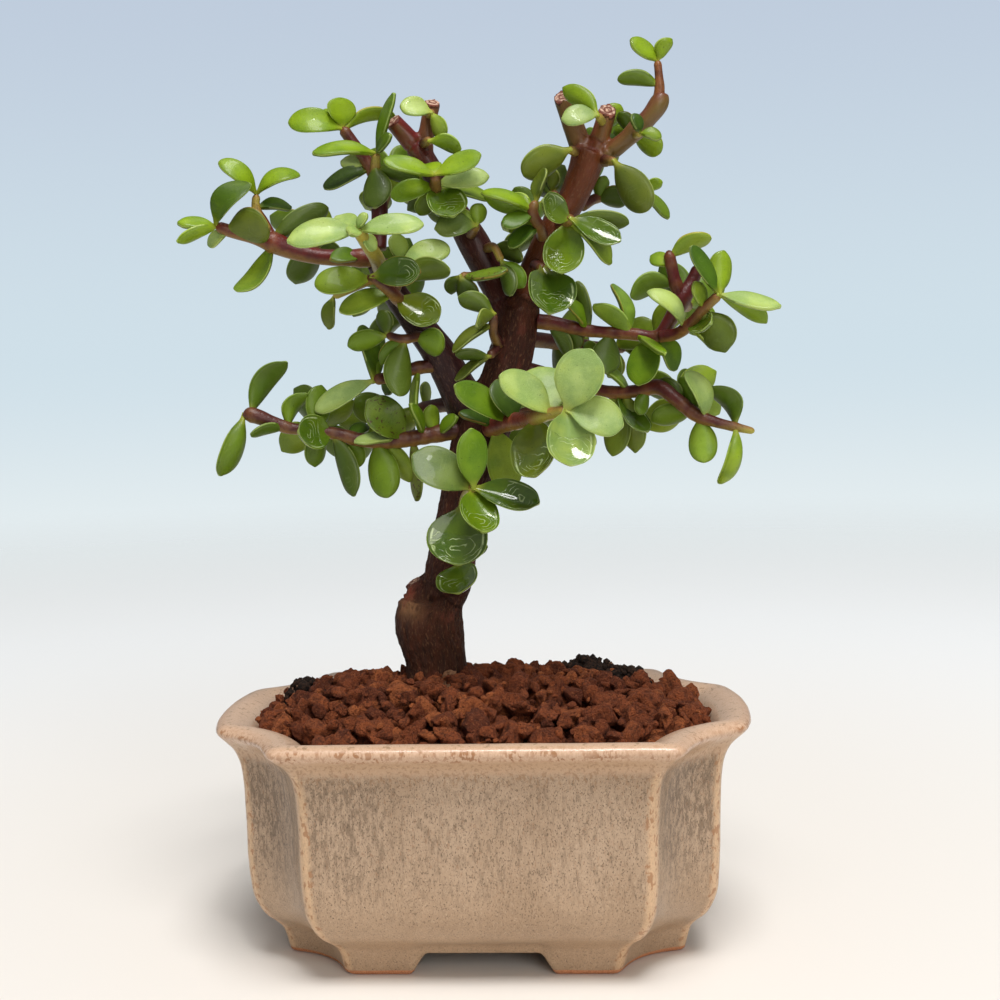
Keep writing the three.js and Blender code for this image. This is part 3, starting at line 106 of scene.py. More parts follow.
# [z, half width, half depth, bow of the sides] from the foot to the crest of the lip
POT_OUTSIDE = [
    [0, 45.4, 23.8, 0.6], [1.2, 45.8, 24.2, 0.6], [4, 46.4, 24.9, 0.6], [6.4, 47.1, 26, 0.6],
    [8.4, 48.4, 28, 0.6], [10.4, 50.1, 30.6, 0.7], [12.8, 51.4, 32.6, 0.8], [16, 52.5, 34, 0.8],
    [21, 53, 34.7, 0.8], [36, 53.4, 35.2, 0.8], [43.5, 54, 35.8, 1], [47, 55, 36.7, 1.4],
    [49.4, 56.6, 38, 1.9], [51.2, 58.7, 39.6, 2.4], [52.4, 60.2, 40.8, 2.7], [53.4, 60.9, 41.4, 2.8],
    [54.4, 60.4, 41, 2.8], [55, 59.2, 40, 2.7],
]
POT_INSIDE = [
    [55.2, 57.4, 38.4, 2.4], [54.6, 55.2, 36.4, 2.2], [52.6, 52.6, 33.8, 1.7], [49, 50.9, 32.1, 1.3],
    [46, 50, 31.4, 1], [18, 47, 28.4, 0.6], [14, 43, 24.4, 0.4],
]
# the foot's bottom edge, rounded at its outside
POT_BOTTOM = [[0, 44.8, 23.2, 0.6], [0.25, 45.2, 23.6, 0.6]]

# ---------------------------------------------------------------- the soil's sizes
MOUND_EDGE = 51.2
MOUND_RISE = 8.6
MOUND_TILT = 0.03
# the higher bank of granules at the left: x, y, reach, height
MOUND_BANK = [-38.0, 5.0, 12.0, 1.8]
# lumps of dark compost between the granules: [x, y, z, radius x, y, z]
COMPOST_LUMPS = [
    [24, 21, 50.9, 13, 8, 10.2],
    [33, 17, 50.5, 8, 7, 9],
    [-43, 8, 51.6, 5, 5, 7.8],
]
COMPOST_FOOT = FLOOR_TOP + 1.6
COMPOST_ROOM = 0.6
COMPOST_UNDER = 3.2
COMPOST_HEIGHTS = (COMPOST_FOOT, 24, 36, 44)
COMPOST_RINGS = 34
# the place kept free for the stump: x, y, radius
TRUNK_FOOT = (-10.5, 9.0, 7.0)
WALL_ROOM = 0.4
# [piece, how many, least and greatest size, room between, lift above the soil, tries, fineness]
GRANULE_LAYERS = [
    ["under", 300, (5.4, 8.4), 0.7, 0.4, 9000, 3],
    ["top", 118, (6.6, 10.6), 0.8, 3.2, 12000, 4],
    ["small", 250, (3.2, 5.6), 0.8, 3.0, 9000, 3],
    ["small", 210, (1.2, 2.6), 0.9, 3.1, 3000, 2],
]
GRANULE_FACETS = 9
# how deep a granule sinks, how far its height strays, and the share left out over the bare compost
GRANULE_SINK = 0.38
GRANULE_STRAY = 0.8
GRANULE_SPARED = 0.66
ROOT_POINTS = 9

# ---------------------------------------------------------------- the wood and the leaves
TRUNK = {
    "stump": [
        [-10, 46, 9, 5.5], [-10.8, 57, 9, 7.4], [-10.9, 65, 9, 7.0], [-12.3, 75, 9, 7.9],
        [-11.4, 79.2, 9, 7],
    ],
    "scar": [[-12.6, 76, 9, 4.4], [-14.4, 81, 9, 3.2], [-15.4, 84.2, 9, 1.9]],
    "leader": [
        [-10.2, 74, 8.5, 4.8], [-9.8, 78.6, 8.5, 5.0], [-8.4, 82.6, 8.5, 5.6], [-5.4, 95, 7.5, 5.5],
        [-2.4, 107, 6.5, 5.8], [1, 118.5, 5.5, 6.2], [4.6, 127, 5.5, 5.3],
        [8.4, 138, 5.5, 4.9], [9.8, 145.5, 5.5, 4.6],
    ],
    "left_limb": [
        [0, 118, 6, 5.2], [-5.4, 130, 6.5, 4.2], [-8.8, 136.6, 6, 3.9],
        [-14.4, 144.3, 4.3, 3.2], [-20, 152.4, 2, 2.8], [-22.2, 157, 1.5, 2.5],
    ],
    "inner_limb": [
        [8.6, 143, 6, 4.0], [5.4, 149.6, 7, 3.5], [-0.4, 161.2, 8, 3.6],
        [-4, 167.6, 7.5, 3.0], [-11.2, 180.4, 5.5, 2.5],
    ],
    "red_stub": [[-11.2, 180, 5.5, 2.3], [-14.6, 184.6, 5, 2.2], [-18, 188.6, 4, 1.9]],
    "brown_stub": [[-11, 180.5, 5.5, 2.0], [-10.2, 186.5, 6, 1.8], [-8.8, 192.4, 6, 1.8]],
    "crown_limb": [
        [9.6, 143.5, 5.5, 4.2], [12.4, 152, 5.5, 3.5], [17.6, 163, 5, 3.3],
        [22.9, 171.6, 5, 3.3], [26.3, 180.4, 5, 3.9],
    ],
    "crown_left_stub": [[25.2, 179, 5.5, 2.5], [22.6, 186.6, 7, 2.4], [20.5, 192.8, 7.5, 2.2]],
    "crown_middle_stub": [[27, 179, 5, 2.3], [29, 185, 4.5, 2.1], [30.4, 189.6, 4, 2.0]],
    "crown_right_limb": [
        [28.6, 178.8, 5, 2.3], [34.8, 183.4, 3.2, 2.0], [37, 185.4, 2.6, 2.3], [39.2, 187.4, 2, 2.0],
        [42, 191.2, 2, 2.15], [42.5, 192.9, 2, 1.6],
    ],
}
# limbs that end in a sawn face, and which way the face leans from the limb
SAWN = {
    "scar": (-0.3, -0.3, 0.4),
    "red_stub": (-0.2, -0.5, 0.2),
    "brown_stub": (0.0, -0.6, 0.0),
    "crown_left_stub": (0.1, -0.9, 0.0),
    "crown_middle_stub": (0.0, -0.95, 0.0),
}
TRUNK_SIDES = 40
STEM_SIDES = 14
# which way the first column of a tube faces
TUBE_FACING = np.array([0.31, -0.95, 0.05])

# the leafy stems, by name: first the stems, as front-view points, then the leaves, each as
# [x and z of its foot, x and z of its tip, lean to the eye, facing, width] and, on some, its arch
SPRAYS = {
    "trunk_front_shoot": ([
        [[-3.6, 101.5, 2, 1.5], [-3, 103.6, -5, 1.4], [-1.4, 105.4, -12, 1.2]],
        [[-3.4, 102.6, -2, 1.2], [-3.8, 101.4, -9, 1.1]],
    ], [
        [-3.8, 101.4, -5.6, 87.8, 18, 78, 14], [-1.3, 104.8, 0.6, 95, 40, 66, 9],
        [-1.3, 105.5, -2, 118.6, 8, 72, 7.4], [-1.8, 105.2, -16, 112.6, 0, 66, 10],
        [-0.8, 104.8, 13.8, 100.2, 8, 60, 7.6],
    ]),
    "trunk_low_leaf": ([
        [[-5.6, 89.6, 4, 1.2], [-5, 88, -2, 1]],
    ], [
        [-5, 87.6, -5.6, 80.6, 40, 60, 10.4], [-5.2, 88.6, 0.4, 92.2, -25, -50, 5.5],
    ]),
    "right_front_rosette": ([
        [[2.4, 118.8, 0, 2.1], [7, 120.2, -7, 2], [12.4, 121, -14, 1.9], [16.4, 122, -19, 1.4],
         [20.2, 122.8, -23, 1.2]],
    ], [
        [20.2, 122, 20.5, 109.8, 22, 74, 10.8], [20.8, 123.3, 26.4, 135.8, 4, 76, 10.8],
        [21.3, 122.5, 32.8, 119.8, 8, 66, 8.6], [16.5, 122.6, 5.3, 131, 12, 60, 8],
        [16.9, 123, 13.6, 135.2, -8, 72, 10.6], [13.4, 119.6, 13, 106.9, 28, 64, 11],
        [7, 120.3, -5.2, 129.3, 14, 56, 7], [8.4, 121.3, 4, 129.8, -8, 62, 7.2],
        [3.6, 119.4, 7.3, 104.8, -4, 70, 8.4], [3.6, 119.8, -4.4, 122.8, 6, 40, 3.6],
        [20.8, 122, 26.2, 114.2, -18, -58, 4],
    ]),
    "left_front_rosette": ([
        [[-21.6, 155.8, -1, 1.9], [-22.6, 158.4, -8, 1.8], [-24.8, 161.8, -14, 1.6],
         [-26.6, 164.6, -19, 1.2]],
    ], [
        [-27.2, 163.8, -42.2, 163, 6, 54, 7.2], [-25.8, 164.8, -11.8, 166.4, 4, 46, 6],
        [-27, 165.2, -32.8, 168.4, -40, 60, 5.6], [-26.4, 164.4, -29.9, 163.1, 42, 58, 3.4],
        [-26.4, 164.8, -24.9, 167.4, 15, 40, 2.4], [-25.6, 163.4, -22.4, 160.2, -20, 55, 3.6],
    ]),
    "left_middle_spray": ([
        [[-15.4, 146.6, 1, 1.7], [-17.4, 148.4, -4, 1.6], [-19.4, 150.4, -9, 1.4], [-23.6, 154, -12, 1.2]],
        [[-18.6, 150, -7, 1.2], [-17.2, 153.6, -7, 1.1], [-16.8, 157, -5, 1]],
        [[-23, 153.6, -10.6, 1.2], [-28, 151.4, -5, 1], [-32.4, 149.6, -3, 0.9]],
    ], [
        [-23.8, 153.6, -36.6, 153, 4, 56, 7.2], [-23.2, 154.3, -12.6, 154.6, 18, 62, 7.2],
        [-18.6, 148.6, -9.2, 143.2, 24, 66, 8.4], [-19.6, 148.8, -31, 146.4, 5, 50, 6.4],
        [-32.4, 149.4, -34.2, 142.4, -6, 50, 3.8], [-16.8, 156.8, -5.6, 159.8, 0, 50, 6.4],
        [-17, 153, -5.4, 155, -4, -58, 6.6], [-17, 157.2, -21.4, 161.6, -8, 60, 5],
        [-17, 157.2, -14.6, 162.4, -28, -60, 4.6],
    ]),
    "left_limb_twig": ([
        [[-10.6, 139.4, 3, 1.4], [-13.6, 140.2, -3, 1.2], [-16.4, 139.6, -5, 1.1], [-20.6, 140.6, -4, 0.9]],
    ], [
        [-14, 140.6, -7.4, 137.6, 8, -62, 6.8], [-16.4, 138.8, -18.4, 126.8, 12, -70, 7],
        [-16.6, 139, -22.2, 134.4, -20, -58, 4.4], [-20.4, 140.6, -29.4, 138.6, -8, -58, 5.2],
        [-20, 141, -21.8, 146, -18, -50, 4.6],
    ]),
    "left_low_spray": ([
        [[-8.4, 133.4, 5, 1.7], [-13.8, 133, 4, 1.6], [-19.6, 131.2, 2, 1.5], [-23.8, 130.4, 0, 1.3]],
    ], [
        [-24, 130, -37, 123.2, 4, 50, 6], [-24, 130.8, -25.6, 144.2, 8, 44, 6],
        [-23.4, 131, -21.4, 143.4, -8, -34, 4.4], [-19.6, 131, -20.8, 127, -24, 50, 3.6],
        [-13.4, 132.6, -15.2, 121.4, 20, 28, 3.4],
    ]),
    "left_long_branch": ([
        [[-4.6, 118.6, 4, 2.2], [-9, 118, 3, 2.1], [-15, 117, 2, 1.9], [-20.6, 116.5, 1, 1.9],
         [-27, 116.8, 0, 1.7], [-33, 118.4, -1, 1.5], [-38, 119.2, -2, 1.3], [-43.4, 119.8, -2, 1.4],
         [-47.4, 121.2, -2.5, 1.6], [-52.4, 123, -3, 1.8], [-54.2, 122.8, -3, 1.3]],
    ], [
        [-52.4, 124, -43.6, 134.6, 4, -60, 6, 0.24], [-54, 122, -60.4, 109.6, 4, -62, 5.8, -0.14],
        [-44.6, 119.6, -52.6, 118.6, 16, -30, 4.4], [-43.8, 120.3, -39.4, 127.6, 0, -50, 5, 0.22],
        [-33.6, 119, -41.4, 119.3, 38, 74, 8.2], [-36.8, 119.6, -35.6, 129.6, -12, -62, 6.6],
        [-36.4, 118, -38.2, 111, -14, -62, 5.6], [-33.8, 117.4, -28, 104.2, 8, -56, 5.6],
        [-29.6, 116.6, -28.6, 110.4, -30, -62, 6.2], [-23.6, 116, -20.8, 103.6, 5, -80, 7.4],
        [-21.4, 115.4, -15.8, 107.4, -16, -60, 5], [-17, 117.6, -22.6, 127.2, 14, 62, 9.2],
        [-18.4, 117.4, -28, 116.6, 30, 30, 4], [-30, 118.6, -25.4, 120.4, -30, 50, 3.6],
        [-12.6, 117.6, -14.6, 125.6, 34, 24, 3.4], [-15, 116, -14, 101.8, -6, -40, 4.2],
        [-9, 118, -4.4, 122.4, 32, 40, 3.8], [-10, 119, -7, 124.6, 4, -60, 5],
    ]),
    "left_upper_branch": ([
        [[-22.8, 158, 0.6, 2.3], [-28, 158.2, 0, 2.1], [-35, 158.6, -1, 1.9], [-41, 160, -2, 2.1],
         [-45.8, 162, -3, 2.5], [-50, 163.2, -4, 1.6], [-55, 164.6, -5, 1.4], [-59, 166.2, -6, 1.3]],
        [[-46, 162.6, -3, 1.5], [-48.2, 167, -2, 1.3], [-49.6, 170, -2, 1], [-49.4, 173, -2, 1]],
    ], [
        [-49.2, 173, -39.6, 177.8, 0, 42, 4.8, 0.2], [-49.6, 173, -58, 180, 6, 58, 5, 0.2],
        [-59, 166.8, -51.4, 175.8, 12, 54, 6.4, 0.24], [-49.6, 170, -41.4, 169.8, -20, 42, 3.8],
        [-45.6, 163.4, -33.4, 170.4, -10, -64, 6], [-56.8, 165, -46.6, 165.8, 26, -74, 8.6],
        [-59, 166.6, -67.4, 167.6, 0, 38, 3.8], [-58.8, 165.8, -68, 164, 12, -40, 3.8],
        [-56.4, 164.6, -60.8, 161.4, -22, 50, 3.6], [-46.4, 161.4, -55.4, 151.8, 8, 40, 6, -0.22],
        [-26, 160.4, -32.7, 158.8, 30, 46, 4.6],
    ]),
    "upper_left_shoot": ([
        [[-21.9, 160, 2.2, 1.9], [-21.6, 164.5, 3, 1.9], [-21.5, 171, 3.5, 2], [-22.6, 177, 3.5, 1.6],
         [-24.8, 180.8, 3, 1.4], [-27.4, 184.4, 2.5, 1.4], [-29.4, 187.4, 2, 1.3]],
        [[-22.4, 176.4, 3, 1.3], [-21.8, 181.6, 0.5, 1]],
    ], [
        [-29.2, 187, -41.4, 188.8, 4, 54, 6.4, 0.12], [-29.4, 187.6, -29.8, 194, -4, 62, 7],
        [-29.4, 187.6, -34, 191.8, -34, 58, 3.6], [-28.8, 187, -16.6, 190.2, 0, -38, 4.8, 0.16],
        [-22, 181.4, -36, 181.8, 8, 36, 4.6], [-21.8, 181.6, -18.4, 194.6, 4, 26, 4.6],
        [-21.6, 181.4, -17.8, 187, 24, 30, 3.4], [-23.4, 178, -34, 174, 4, 46, 5],
        [-24, 179, -29.8, 179.4, -28, 58, 4], [-21.4, 178.6, -21.8, 169.4, 26, -74, 7],
        [-21.4, 178, -12.2, 175.6, -6, -58, 5],
    ]),
    "inner_rosette": ([
        [[-8.6, 172.6, 2.6, 1.5], [-8.6, 173.8, -3, 1.4], [-8.5, 176.4, -7, 1.2]],
    ], [
        [-8.2, 173.4, -4.4, 166.6, 44, 56, 9.4], [-9, 176.2, -20, 180.2, 4, 42, 4.8],
        [-8, 176.6, 1.6, 180.6, 4, 52, 5.4], [-8.6, 176.8, -12, 181, -30, 58, 5],
        [-9, 173.8, -18.8, 172.2, 8, 60, 5.2], [-7.8, 174, 3.4, 175.4, 4, 58, 5],
        [-8, 173.4, 4.4, 170.6, -8, 40, 4.6], [-9.2, 173.2, -12.4, 167.4, -14, -60, 4.8],
    ]),
    "inner_fork_leaves": ([
        [[-0.8, 163, 4, 1.4], [0.4, 164.8, -2, 1.1]],
    ], [
        [0.2, 165, -8.8, 164.8, 16, 60, 6], [0.8, 165, 1.6, 169.6, -18, -60, 4.4],
        [0.4, 165.4, -3.4, 169.4, -34, -60, 4.6],
    ]),
    "red_stub_leaves": ([
        [[-11, 183.4, 3.2, 1.2], [-9.8, 184, -1.5, 1]],
    ], [
        [-9.6, 184, -2.8, 181.8, 6, -44, 4.8],
    ]),
    "brown_stub_leaves": ([
        [[-9.6, 189.6, 4, 1], [-9.2, 190.2, 0.5, 0.9]],
    ], [
        [-9.4, 190.4, -16, 192.2, 6, 60, 5], [-9, 190, -6.6, 184.4, -8, -60, 4],
    ]),
    "inner_twig": ([
        [[4.8, 138, 0.6, 1.4], [3.8, 141, -4, 1.1], [4, 145, -6, 1]],
        [[4.4, 137, -0.4, 1.2], [2.8, 135.4, -4, 1]],
    ], [
        [3.6, 142.6, -5.6, 137, 8, 36, 4.2], [2.8, 135.4, -4.8, 136, 6, -34, 4],
        [4, 145, -1.4, 141.8, 20, -44, 4.8], [3.9, 145, -3.8, 148.8, 2, -60, 5],
        [2.6, 135, -4.8, 130, -6, 30, 3.4],
    ]),
    "inner_limb_leaves": ([
        [[1.8, 153.6, 4, 1.2], [-1.6, 153.4, -2, 1.1], [-3.4, 153.6, -3.6, 1]],
    ], [
        [-3.2, 153.6, 7, 155.4, 14, 24, 4, -0.08], [-3.4, 154, -0.6, 147.2, -14, -58, 5.6],
        [-3.6, 154.2, -6.4, 149, -30, -50, 4.4],
    ]),
    "centre_dark_leaves": ([
        [[2.6, 159.6, 5.4, 1.2], [4.4, 159.8, 1, 1], [6, 156.6, -1, 0.9]],
    ], [
        [3.4, 159.8, 11.6, 156.8, 0, -56, 5.4], [5.8, 156.8, 10.6, 151.2, -20, -70, 5],
        [6, 156.4, 8.4, 148.2, 0, -58, 4.6],
    ]),
    "centre_spray": ([
        [[15.4, 162, 2.4, 1.5], [14.6, 164.4, -2, 1.3], [13.2, 167.6, -4, 1.2], [14, 170, -4, 1]],
    ], [
        [12.6, 168, 2, 172.2, 6, 36, 4], [14, 170, 15.8, 177.2, -10, 34, 4.8],
        [12.8, 167.2, 1.9, 168.8, -8, -60, 5.6], [13.4, 167, 6.3, 165.2, 24, 44, 4.6],
        [14.6, 164.2, 7.7, 160, 10, 40, 4.8], [14.2, 164.6, 7.2, 163, -20, -60, 4.4],
        [13.2, 168.4, 7.6, 170.4, -32, -60, 4.4],
    ]),
    "crown_limb_left_shoot": ([
        [[19.4, 168.4, 6.6, 1.3], [17.8, 172, 9, 1.1]],
    ], [
        [17.8, 172, 17, 177.4, 10, -50, 4], [17.9, 171.8, 21.4, 179.8, -14, -60, 6],
        [17.8, 171.4, 13, 174.6, -30, -60, 5],
    ]),
    "crown_limb_rosette": ([
        [[19.6, 164.6, 1.4, 1.5], [21, 165.2, -5, 1.3], [21.8, 165.8, -9, 1.1]],
    ], [
        [21.4, 166, 15.4, 169.9, 34, 60, 6.8], [22, 165.8, 32.6, 160.5, 8, 50, 6.2],
        [21, 165, 19.2, 153.4, 28, 72, 9.4], [21.8, 164.6, 30, 155.2, -4, 44, 6, 0.16],
        [21.4, 165.8, 34.6, 165, -14, -56, 5.4],
    ]),
    "crown_limb_low_leaf": ([
        [[13.6, 155.6, 1.8, 1.4], [15.2, 154.8, -4, 1.1]],
    ], [
        [15.4, 154.4, 16.8, 144.6, 38, 66, 11.6],
    ]),
    "right_upper_branch": ([
        [[14, 143, 4, 1.9], [18, 142.4, 3.5, 1.7], [24, 140.9, 3, 1.5], [30, 140.1, 2, 1.4],
         [36, 139.6, 1, 1.4], [41, 139, 0, 1.6], [43.8, 142.6, -0.5, 1.7], [46.6, 147.4, -1, 2.2],
         [48.6, 150.8, -0.5, 1.6], [50.6, 154.8, 0, 1.5]],
        [[46.4, 147, -1, 1.7], [45, 151.4, -1.5, 1.5], [43.6, 158.2, -2, 1.3]],
        [[41.6, 139, -1, 1.5], [45.4, 139.6, -3, 1.4], [48.4, 141.8, -6, 1.3], [51.4, 145, -9, 1.2],
         [55, 148.2, -11, 1.1]],
    ], [
        [51.2, 144.4, 56, 135.6, -12, -66, 8.6], [47.2, 142.4, 54.7, 141.5, 32, 52, 6],
        [55.4, 148.2, 68.2, 145, 4, 42, 5], [55.4, 147.6, 66.6, 141.6, -14, -50, 5.4],
        [54.6, 148.3, 48.8, 159, 10, 42, 4.8], [55.4, 148.8, 55.8, 157.8, -16, -66, 5.8],
        [51, 145.4, 49.7, 151, 14, 40, 4], [48.4, 141, 58.2, 136.9, 6, 36, 5.2],
        [46.2, 141.6, 38.8, 149, 16, 42, 5, 0.22], [45.2, 150.6, 35, 148.6, 4, -50, 6.6, 0.2],
        [44, 157, 53, 161.2, 2, -42, 5.6], [43.8, 155, 39.6, 156.8, -30, 58, 4],
        [40, 138.6, 36, 128.6, 14, 60, 8.2], [41.2, 138.4, 44.6, 131.2, -4, 46, 6.6],
        [36, 139.4, 44.4, 134, 36, 20, 3.2], [35.2, 140.2, 27.2, 146.8, 14, -46, 6],
        [34.6, 140.6, 31, 152.4, 2, 38, 4.8], [33, 140.6, 30.4, 146.6, -28, -58, 4],
        [30.2, 139.4, 29.6, 131, -6, -64, 7.2], [25.8, 141.2, 23, 151.6, -4, -38, 4.6],
        [24.8, 140.2, 21.8, 147.8, 24, 28, 4.2], [21.6, 140.8, 22.4, 136.6, -26, -60, 4.6],
        [16.2, 141.8, 21, 135.2, -4, -42, 4.8],
    ]),
    "right_lower_branch": ([
        [[11, 132.4, 8, 1.8], [16, 131, 9, 1.6], [24, 128.2, 8, 1.5], [31, 126.6, 6, 1.5],
         [36, 126.8, 4, 1.6], [41, 127.6, 2, 1.9], [45, 124.8, 0, 1.7], [49.8, 121, -1, 1.6],
         [54, 119.4, -2, 1.3], [58.5, 118.2, -2, 1.1], [62.6, 117.2, -2, 0.8]],
        [[24, 128.4, 7, 1.2], [27.4, 132.8, 3, 1]],
    ], [
        [27.6, 133, 35.2, 126.9, 10, 24, 4.4], [27.2, 133, 24, 139, -10, -50, 5],
        [49.4, 121.6, 45.6, 129.4, -18, -64, 5.4], [51.6, 120.6, 47.8, 131.2, 8, 46, 6.2, 0.16],
        [58.4, 118.8, 53, 127.6, 0, -48, 6.4, 0.28], [50, 119.8, 50.7, 110.3, 4, -80, 6.6],
        [58, 118, 54.2, 105.6, 4, -42, 5, -0.22], [48, 121.4, 39.6, 119.8, -22, -60, 6],
        [46.6, 123.6, 41.8, 129, -30, -50, 4.4], [38.6, 126.4, 37, 121.4, 16, -58, 4],
        [31.6, 125.8, 38.4, 117.4, 14, 46, 6], [30.4, 126, 31, 112.4, -6, -62, 7.4],
        [33.4, 126, 35.6, 113.4, -16, -62, 6.8],
    ]),
    "crown_tip_shoot": ([
        [[41.8, 191.6, 2, 1.5], [42, 194.4, 2, 1.15], [41.6, 200.2, 2, 0.9]],
    ], [
        [42, 194.8, 32.8, 196.8, 2, -50, 4.4], [41.6, 200, 36, 205.2, 2, 52, 4.4],
        [41.6, 200.2, 43.4, 205.4, -6, -54, 4.2],
    ]),
    "crown_right_shoot": ([
        [[36.6, 184.2, 0.4, 1.1], [37.6, 184.4, -3, 0.9]],
    ], [
        [37.6, 184.5, 36.1, 188.6, 8, 36, 3.6], [37.8, 184.3, 42.2, 183.2, 8, 40, 3.6],
    ]),
    "crown_right_back_shoot": ([
        [[35.4, 184.4, 6, 1.2], [36, 184, 10.5, 1]],
    ], [
        [36, 183.8, 42.2, 180, 0, -70, 5.6], [35.8, 184.4, 33.4, 189.2, 0, -60, 4],
        [35.8, 184, 30.6, 184.6, -10, -60, 4],
    ]),
    "crown_right_leaf": ([
        [[29.2, 178.8, 3.6, 1.3], [31.8, 178.2, -2, 1]],
    ], [
        [31.8, 178, 38.6, 166.8, 6, -70, 8],
    ]),
    "crown_left_leaf": ([
        [[23, 180.6, 1.6, 1.2], [21.8, 181.2, -1.5, 1]],
    ], [
        [21.6, 181.4, 11.2, 175.6, 4, -60, 8],
    ]),
    "crown_middle_leaves": ([
        [[29.2, 187, 1.8, 1], [28.2, 188.6, -1.5, 0.9]],
    ], [
        [28, 188.8, 20.2, 188.2, 12, 56, 5.2], [28, 189, 20.6, 195.2, -26, -64, 5],
    ]),
    "crown_back_leaves": ([
        [[29.4, 184, 7.4, 1.2], [29.8, 185.4, 12, 1]],
    ], [
        [29.8, 185.8, 33.4, 190.8, 0, -64, 5], [30, 185, 33, 180, -20, 60, 5],
    ]),
    "crown_limb_right_shoot": ([
        [[24.4, 168.6, 8.6, 1.4], [27.6, 170.2, 12, 1.2], [33, 170.6, 16, 1.1], [38.6, 172, 19, 1]],
    ], [
        [27.6, 171.4, 34.7, 170, 4, -60, 5.8], [27.6, 171, 29.6, 175, 0, -58, 4],
        [37.4, 171.6, 43.8, 165.6, 10, 32, 3.8], [38.6, 172.2, 42.2, 173.8, 0, -58, 3.4],
    ]),
}

# stems that grow by a rule: [name, room between leaf pairs, length of a leaf, front-view points]
GROWN = [
    ["back_left_spray", 9, 11.5, [
        [-11.6, 140.6, 7, 1.8], [-15.4, 145, 15, 1.7], [-19.6, 149, 24, 1.5], [-22.6, 151.6, 33, 1.2],
    ]],
    ["back_left_low_spray", 9.3, 11, [
        [-3.4, 125, 9, 2], [-11, 124, 15, 1.8], [-19, 121.6, 23, 1.5], [-25.4, 119.6, 30, 1.2],
    ]],
    ["back_trunk_spray", 9.5, 12, [
        [1.6, 120.5, 9, 2.2], [6, 122.6, 19, 2], [11.4, 123.4, 30, 1.6], [15, 123.6, 39, 1.2],
    ]],
    ["back_right_spray", 9.3, 11.5, [
        [9, 139.4, 9, 2.1], [17, 138.4, 16, 1.9], [26, 137, 24, 1.6], [33.6, 136.4, 31, 1.2],
    ]],
    ["back_crown_spray", 8.8, 11, [
        [15, 158, 8, 1.8], [15, 161.6, 16, 1.7], [14, 164.4, 25, 1.4], [12.6, 165.4, 33, 1.1],
    ]],
    ["back_inner_spray", 8.8, 10.5, [
        [-3.4, 166.6, 9, 1.6], [-5.8, 170, 17, 1.5], [-7.8, 172.4, 25, 1.3], [-9.8, 173.6, 32, 1.1],
    ]],
    ["right_upper_branch", 8.5, 10.5, [
        [46.6, 147.4, 0, 1.5], [47.4, 146, 8, 1.4], [47.6, 145.6, 16, 1.3], [47, 146.6, 24, 1.1],
    ]],
    ["left_long_branch", 8.5, 10.5, [
        [-38, 119.2, -1, 1.3], [-38.4, 119.6, 6, 1.3], [-37.4, 120.2, 14, 1.2], [-36, 121, 22, 1],
    ]],
    ["right_lower_branch", 8.5, 10.5, [
        [45, 124.8, 1, 1.4], [46, 124.4, 9, 1.3], [46.4, 124.4, 17, 1.2], [46, 125.4, 25, 1],
    ]],
    ["left_upper_branch", 8.8, 10, [
        [-35, 158.6, 0, 1.5], [-36, 159.6, 8, 1.4], [-37.4, 161, 16, 1.2], [-38.6, 163, 23, 1],
    ]],
    ["back_crown_high_spray", 8.5, 9.5, [
        [27.2, 178, 7, 1.8], [28, 180.4, 14, 1.4], [28.4, 180.6, 20, 1],
    ]],
    ["upper_left_shoot", 8.5, 9.5, [
        [-21.6, 168, 4, 1.3], [-20, 171.4, 11, 1.2], [-18.6, 174.4, 18, 1.1], [-18, 177, 25, 0.9],
    ]],
]

# degrees between the stem and a leaf of a pair, and of the last pair, and how far faces turn to the sky
PAIR_SPREAD = 58
TIP_SPREAD = 38
SKYWARD = 0.5
# the plain blade that leaves are laid by: [how far along, half width as a share of the widest]
LEAF_CUTS = np.array([[0, 0.14], [0.42, 0.97], [0.8, 0.93], [1, 0.1]])
LEAF_ARCH = 0.07
# a leaf with less arch than this has no shape of its own, and strays
PLAIN_ARCH = 0.1
LEAF_THICK = 1.5
LEAF_SHORTEST = 4
LEAF_LONGEST = 15
# room between blades, within one stem and between stems
OWN_CLEAR = -0.5
CLEAR = 0.45


# ---------------------------------------------------------------- small helpers
def unit(v):
    return v / np.linalg.norm(v)


def across(v, along):
    """The unit vector nearest to v that stands square on a direction."""
    return unit(v - along * np.dot(v, along))


def draw(n):
    """A repeatable draw between 0 and 1."""
    s = math.sin(n * 12.9898 + 4.1414) * 43758.5453
    return s - math.floor(s)


def turned(v, axis, angle):
    c = math.cos(angle)
    return v * c + np.cross(axis, v) * math.sin(angle) + axis * (np.dot(axis, v) * (1 - c))


def step(low, high, value):
    """0 below low, 1 above high, smooth between."""
    t = np.clip((np.asarray(value, float) - low) / (high - low), 0, 1)
    return t * t * (3 - 2 * t)


def hump(value, reach):
    """1 at 0, falling away smoothly over a reach."""
    return np.exp(-(value / reach) ** 2)


def place(point):
    """The real place of a front-view point."""
    k = (point[2] - EYE[1]) / -EYE[1]
    return np.array([EYE[0] + (point[0] - EYE[0]) * k, point[2], EYE[2] + (point[1] - EYE[2]) * k])


def noise_at(points, scale, seed=0.0, octaves=2):
    """Smooth noise, about -1 to 1, at each point."""
    shift = Vector((seed * 7.3, seed * 3.1, seed * 5.7))
    values = np.zeros(len(points))
    for octave in range(octaves):
        k = scale * 2 ** octave
        values += [noise.noise(Vector(p) * k + shift) * 0.5 ** octave for p in points]
    return values


def headings(line):
    """The unit direction of a line at each of its points."""
    out = np.gradient(line, axis=0)
    return out / np.linalg.norm(out, axis=1)[:, None]


def walked_along(line):
    """How far along a line each of its points lies."""
    return np.concatenate([[0], np.cumsum(np.linalg.norm(np.diff(line, axis=0), axis=1))])


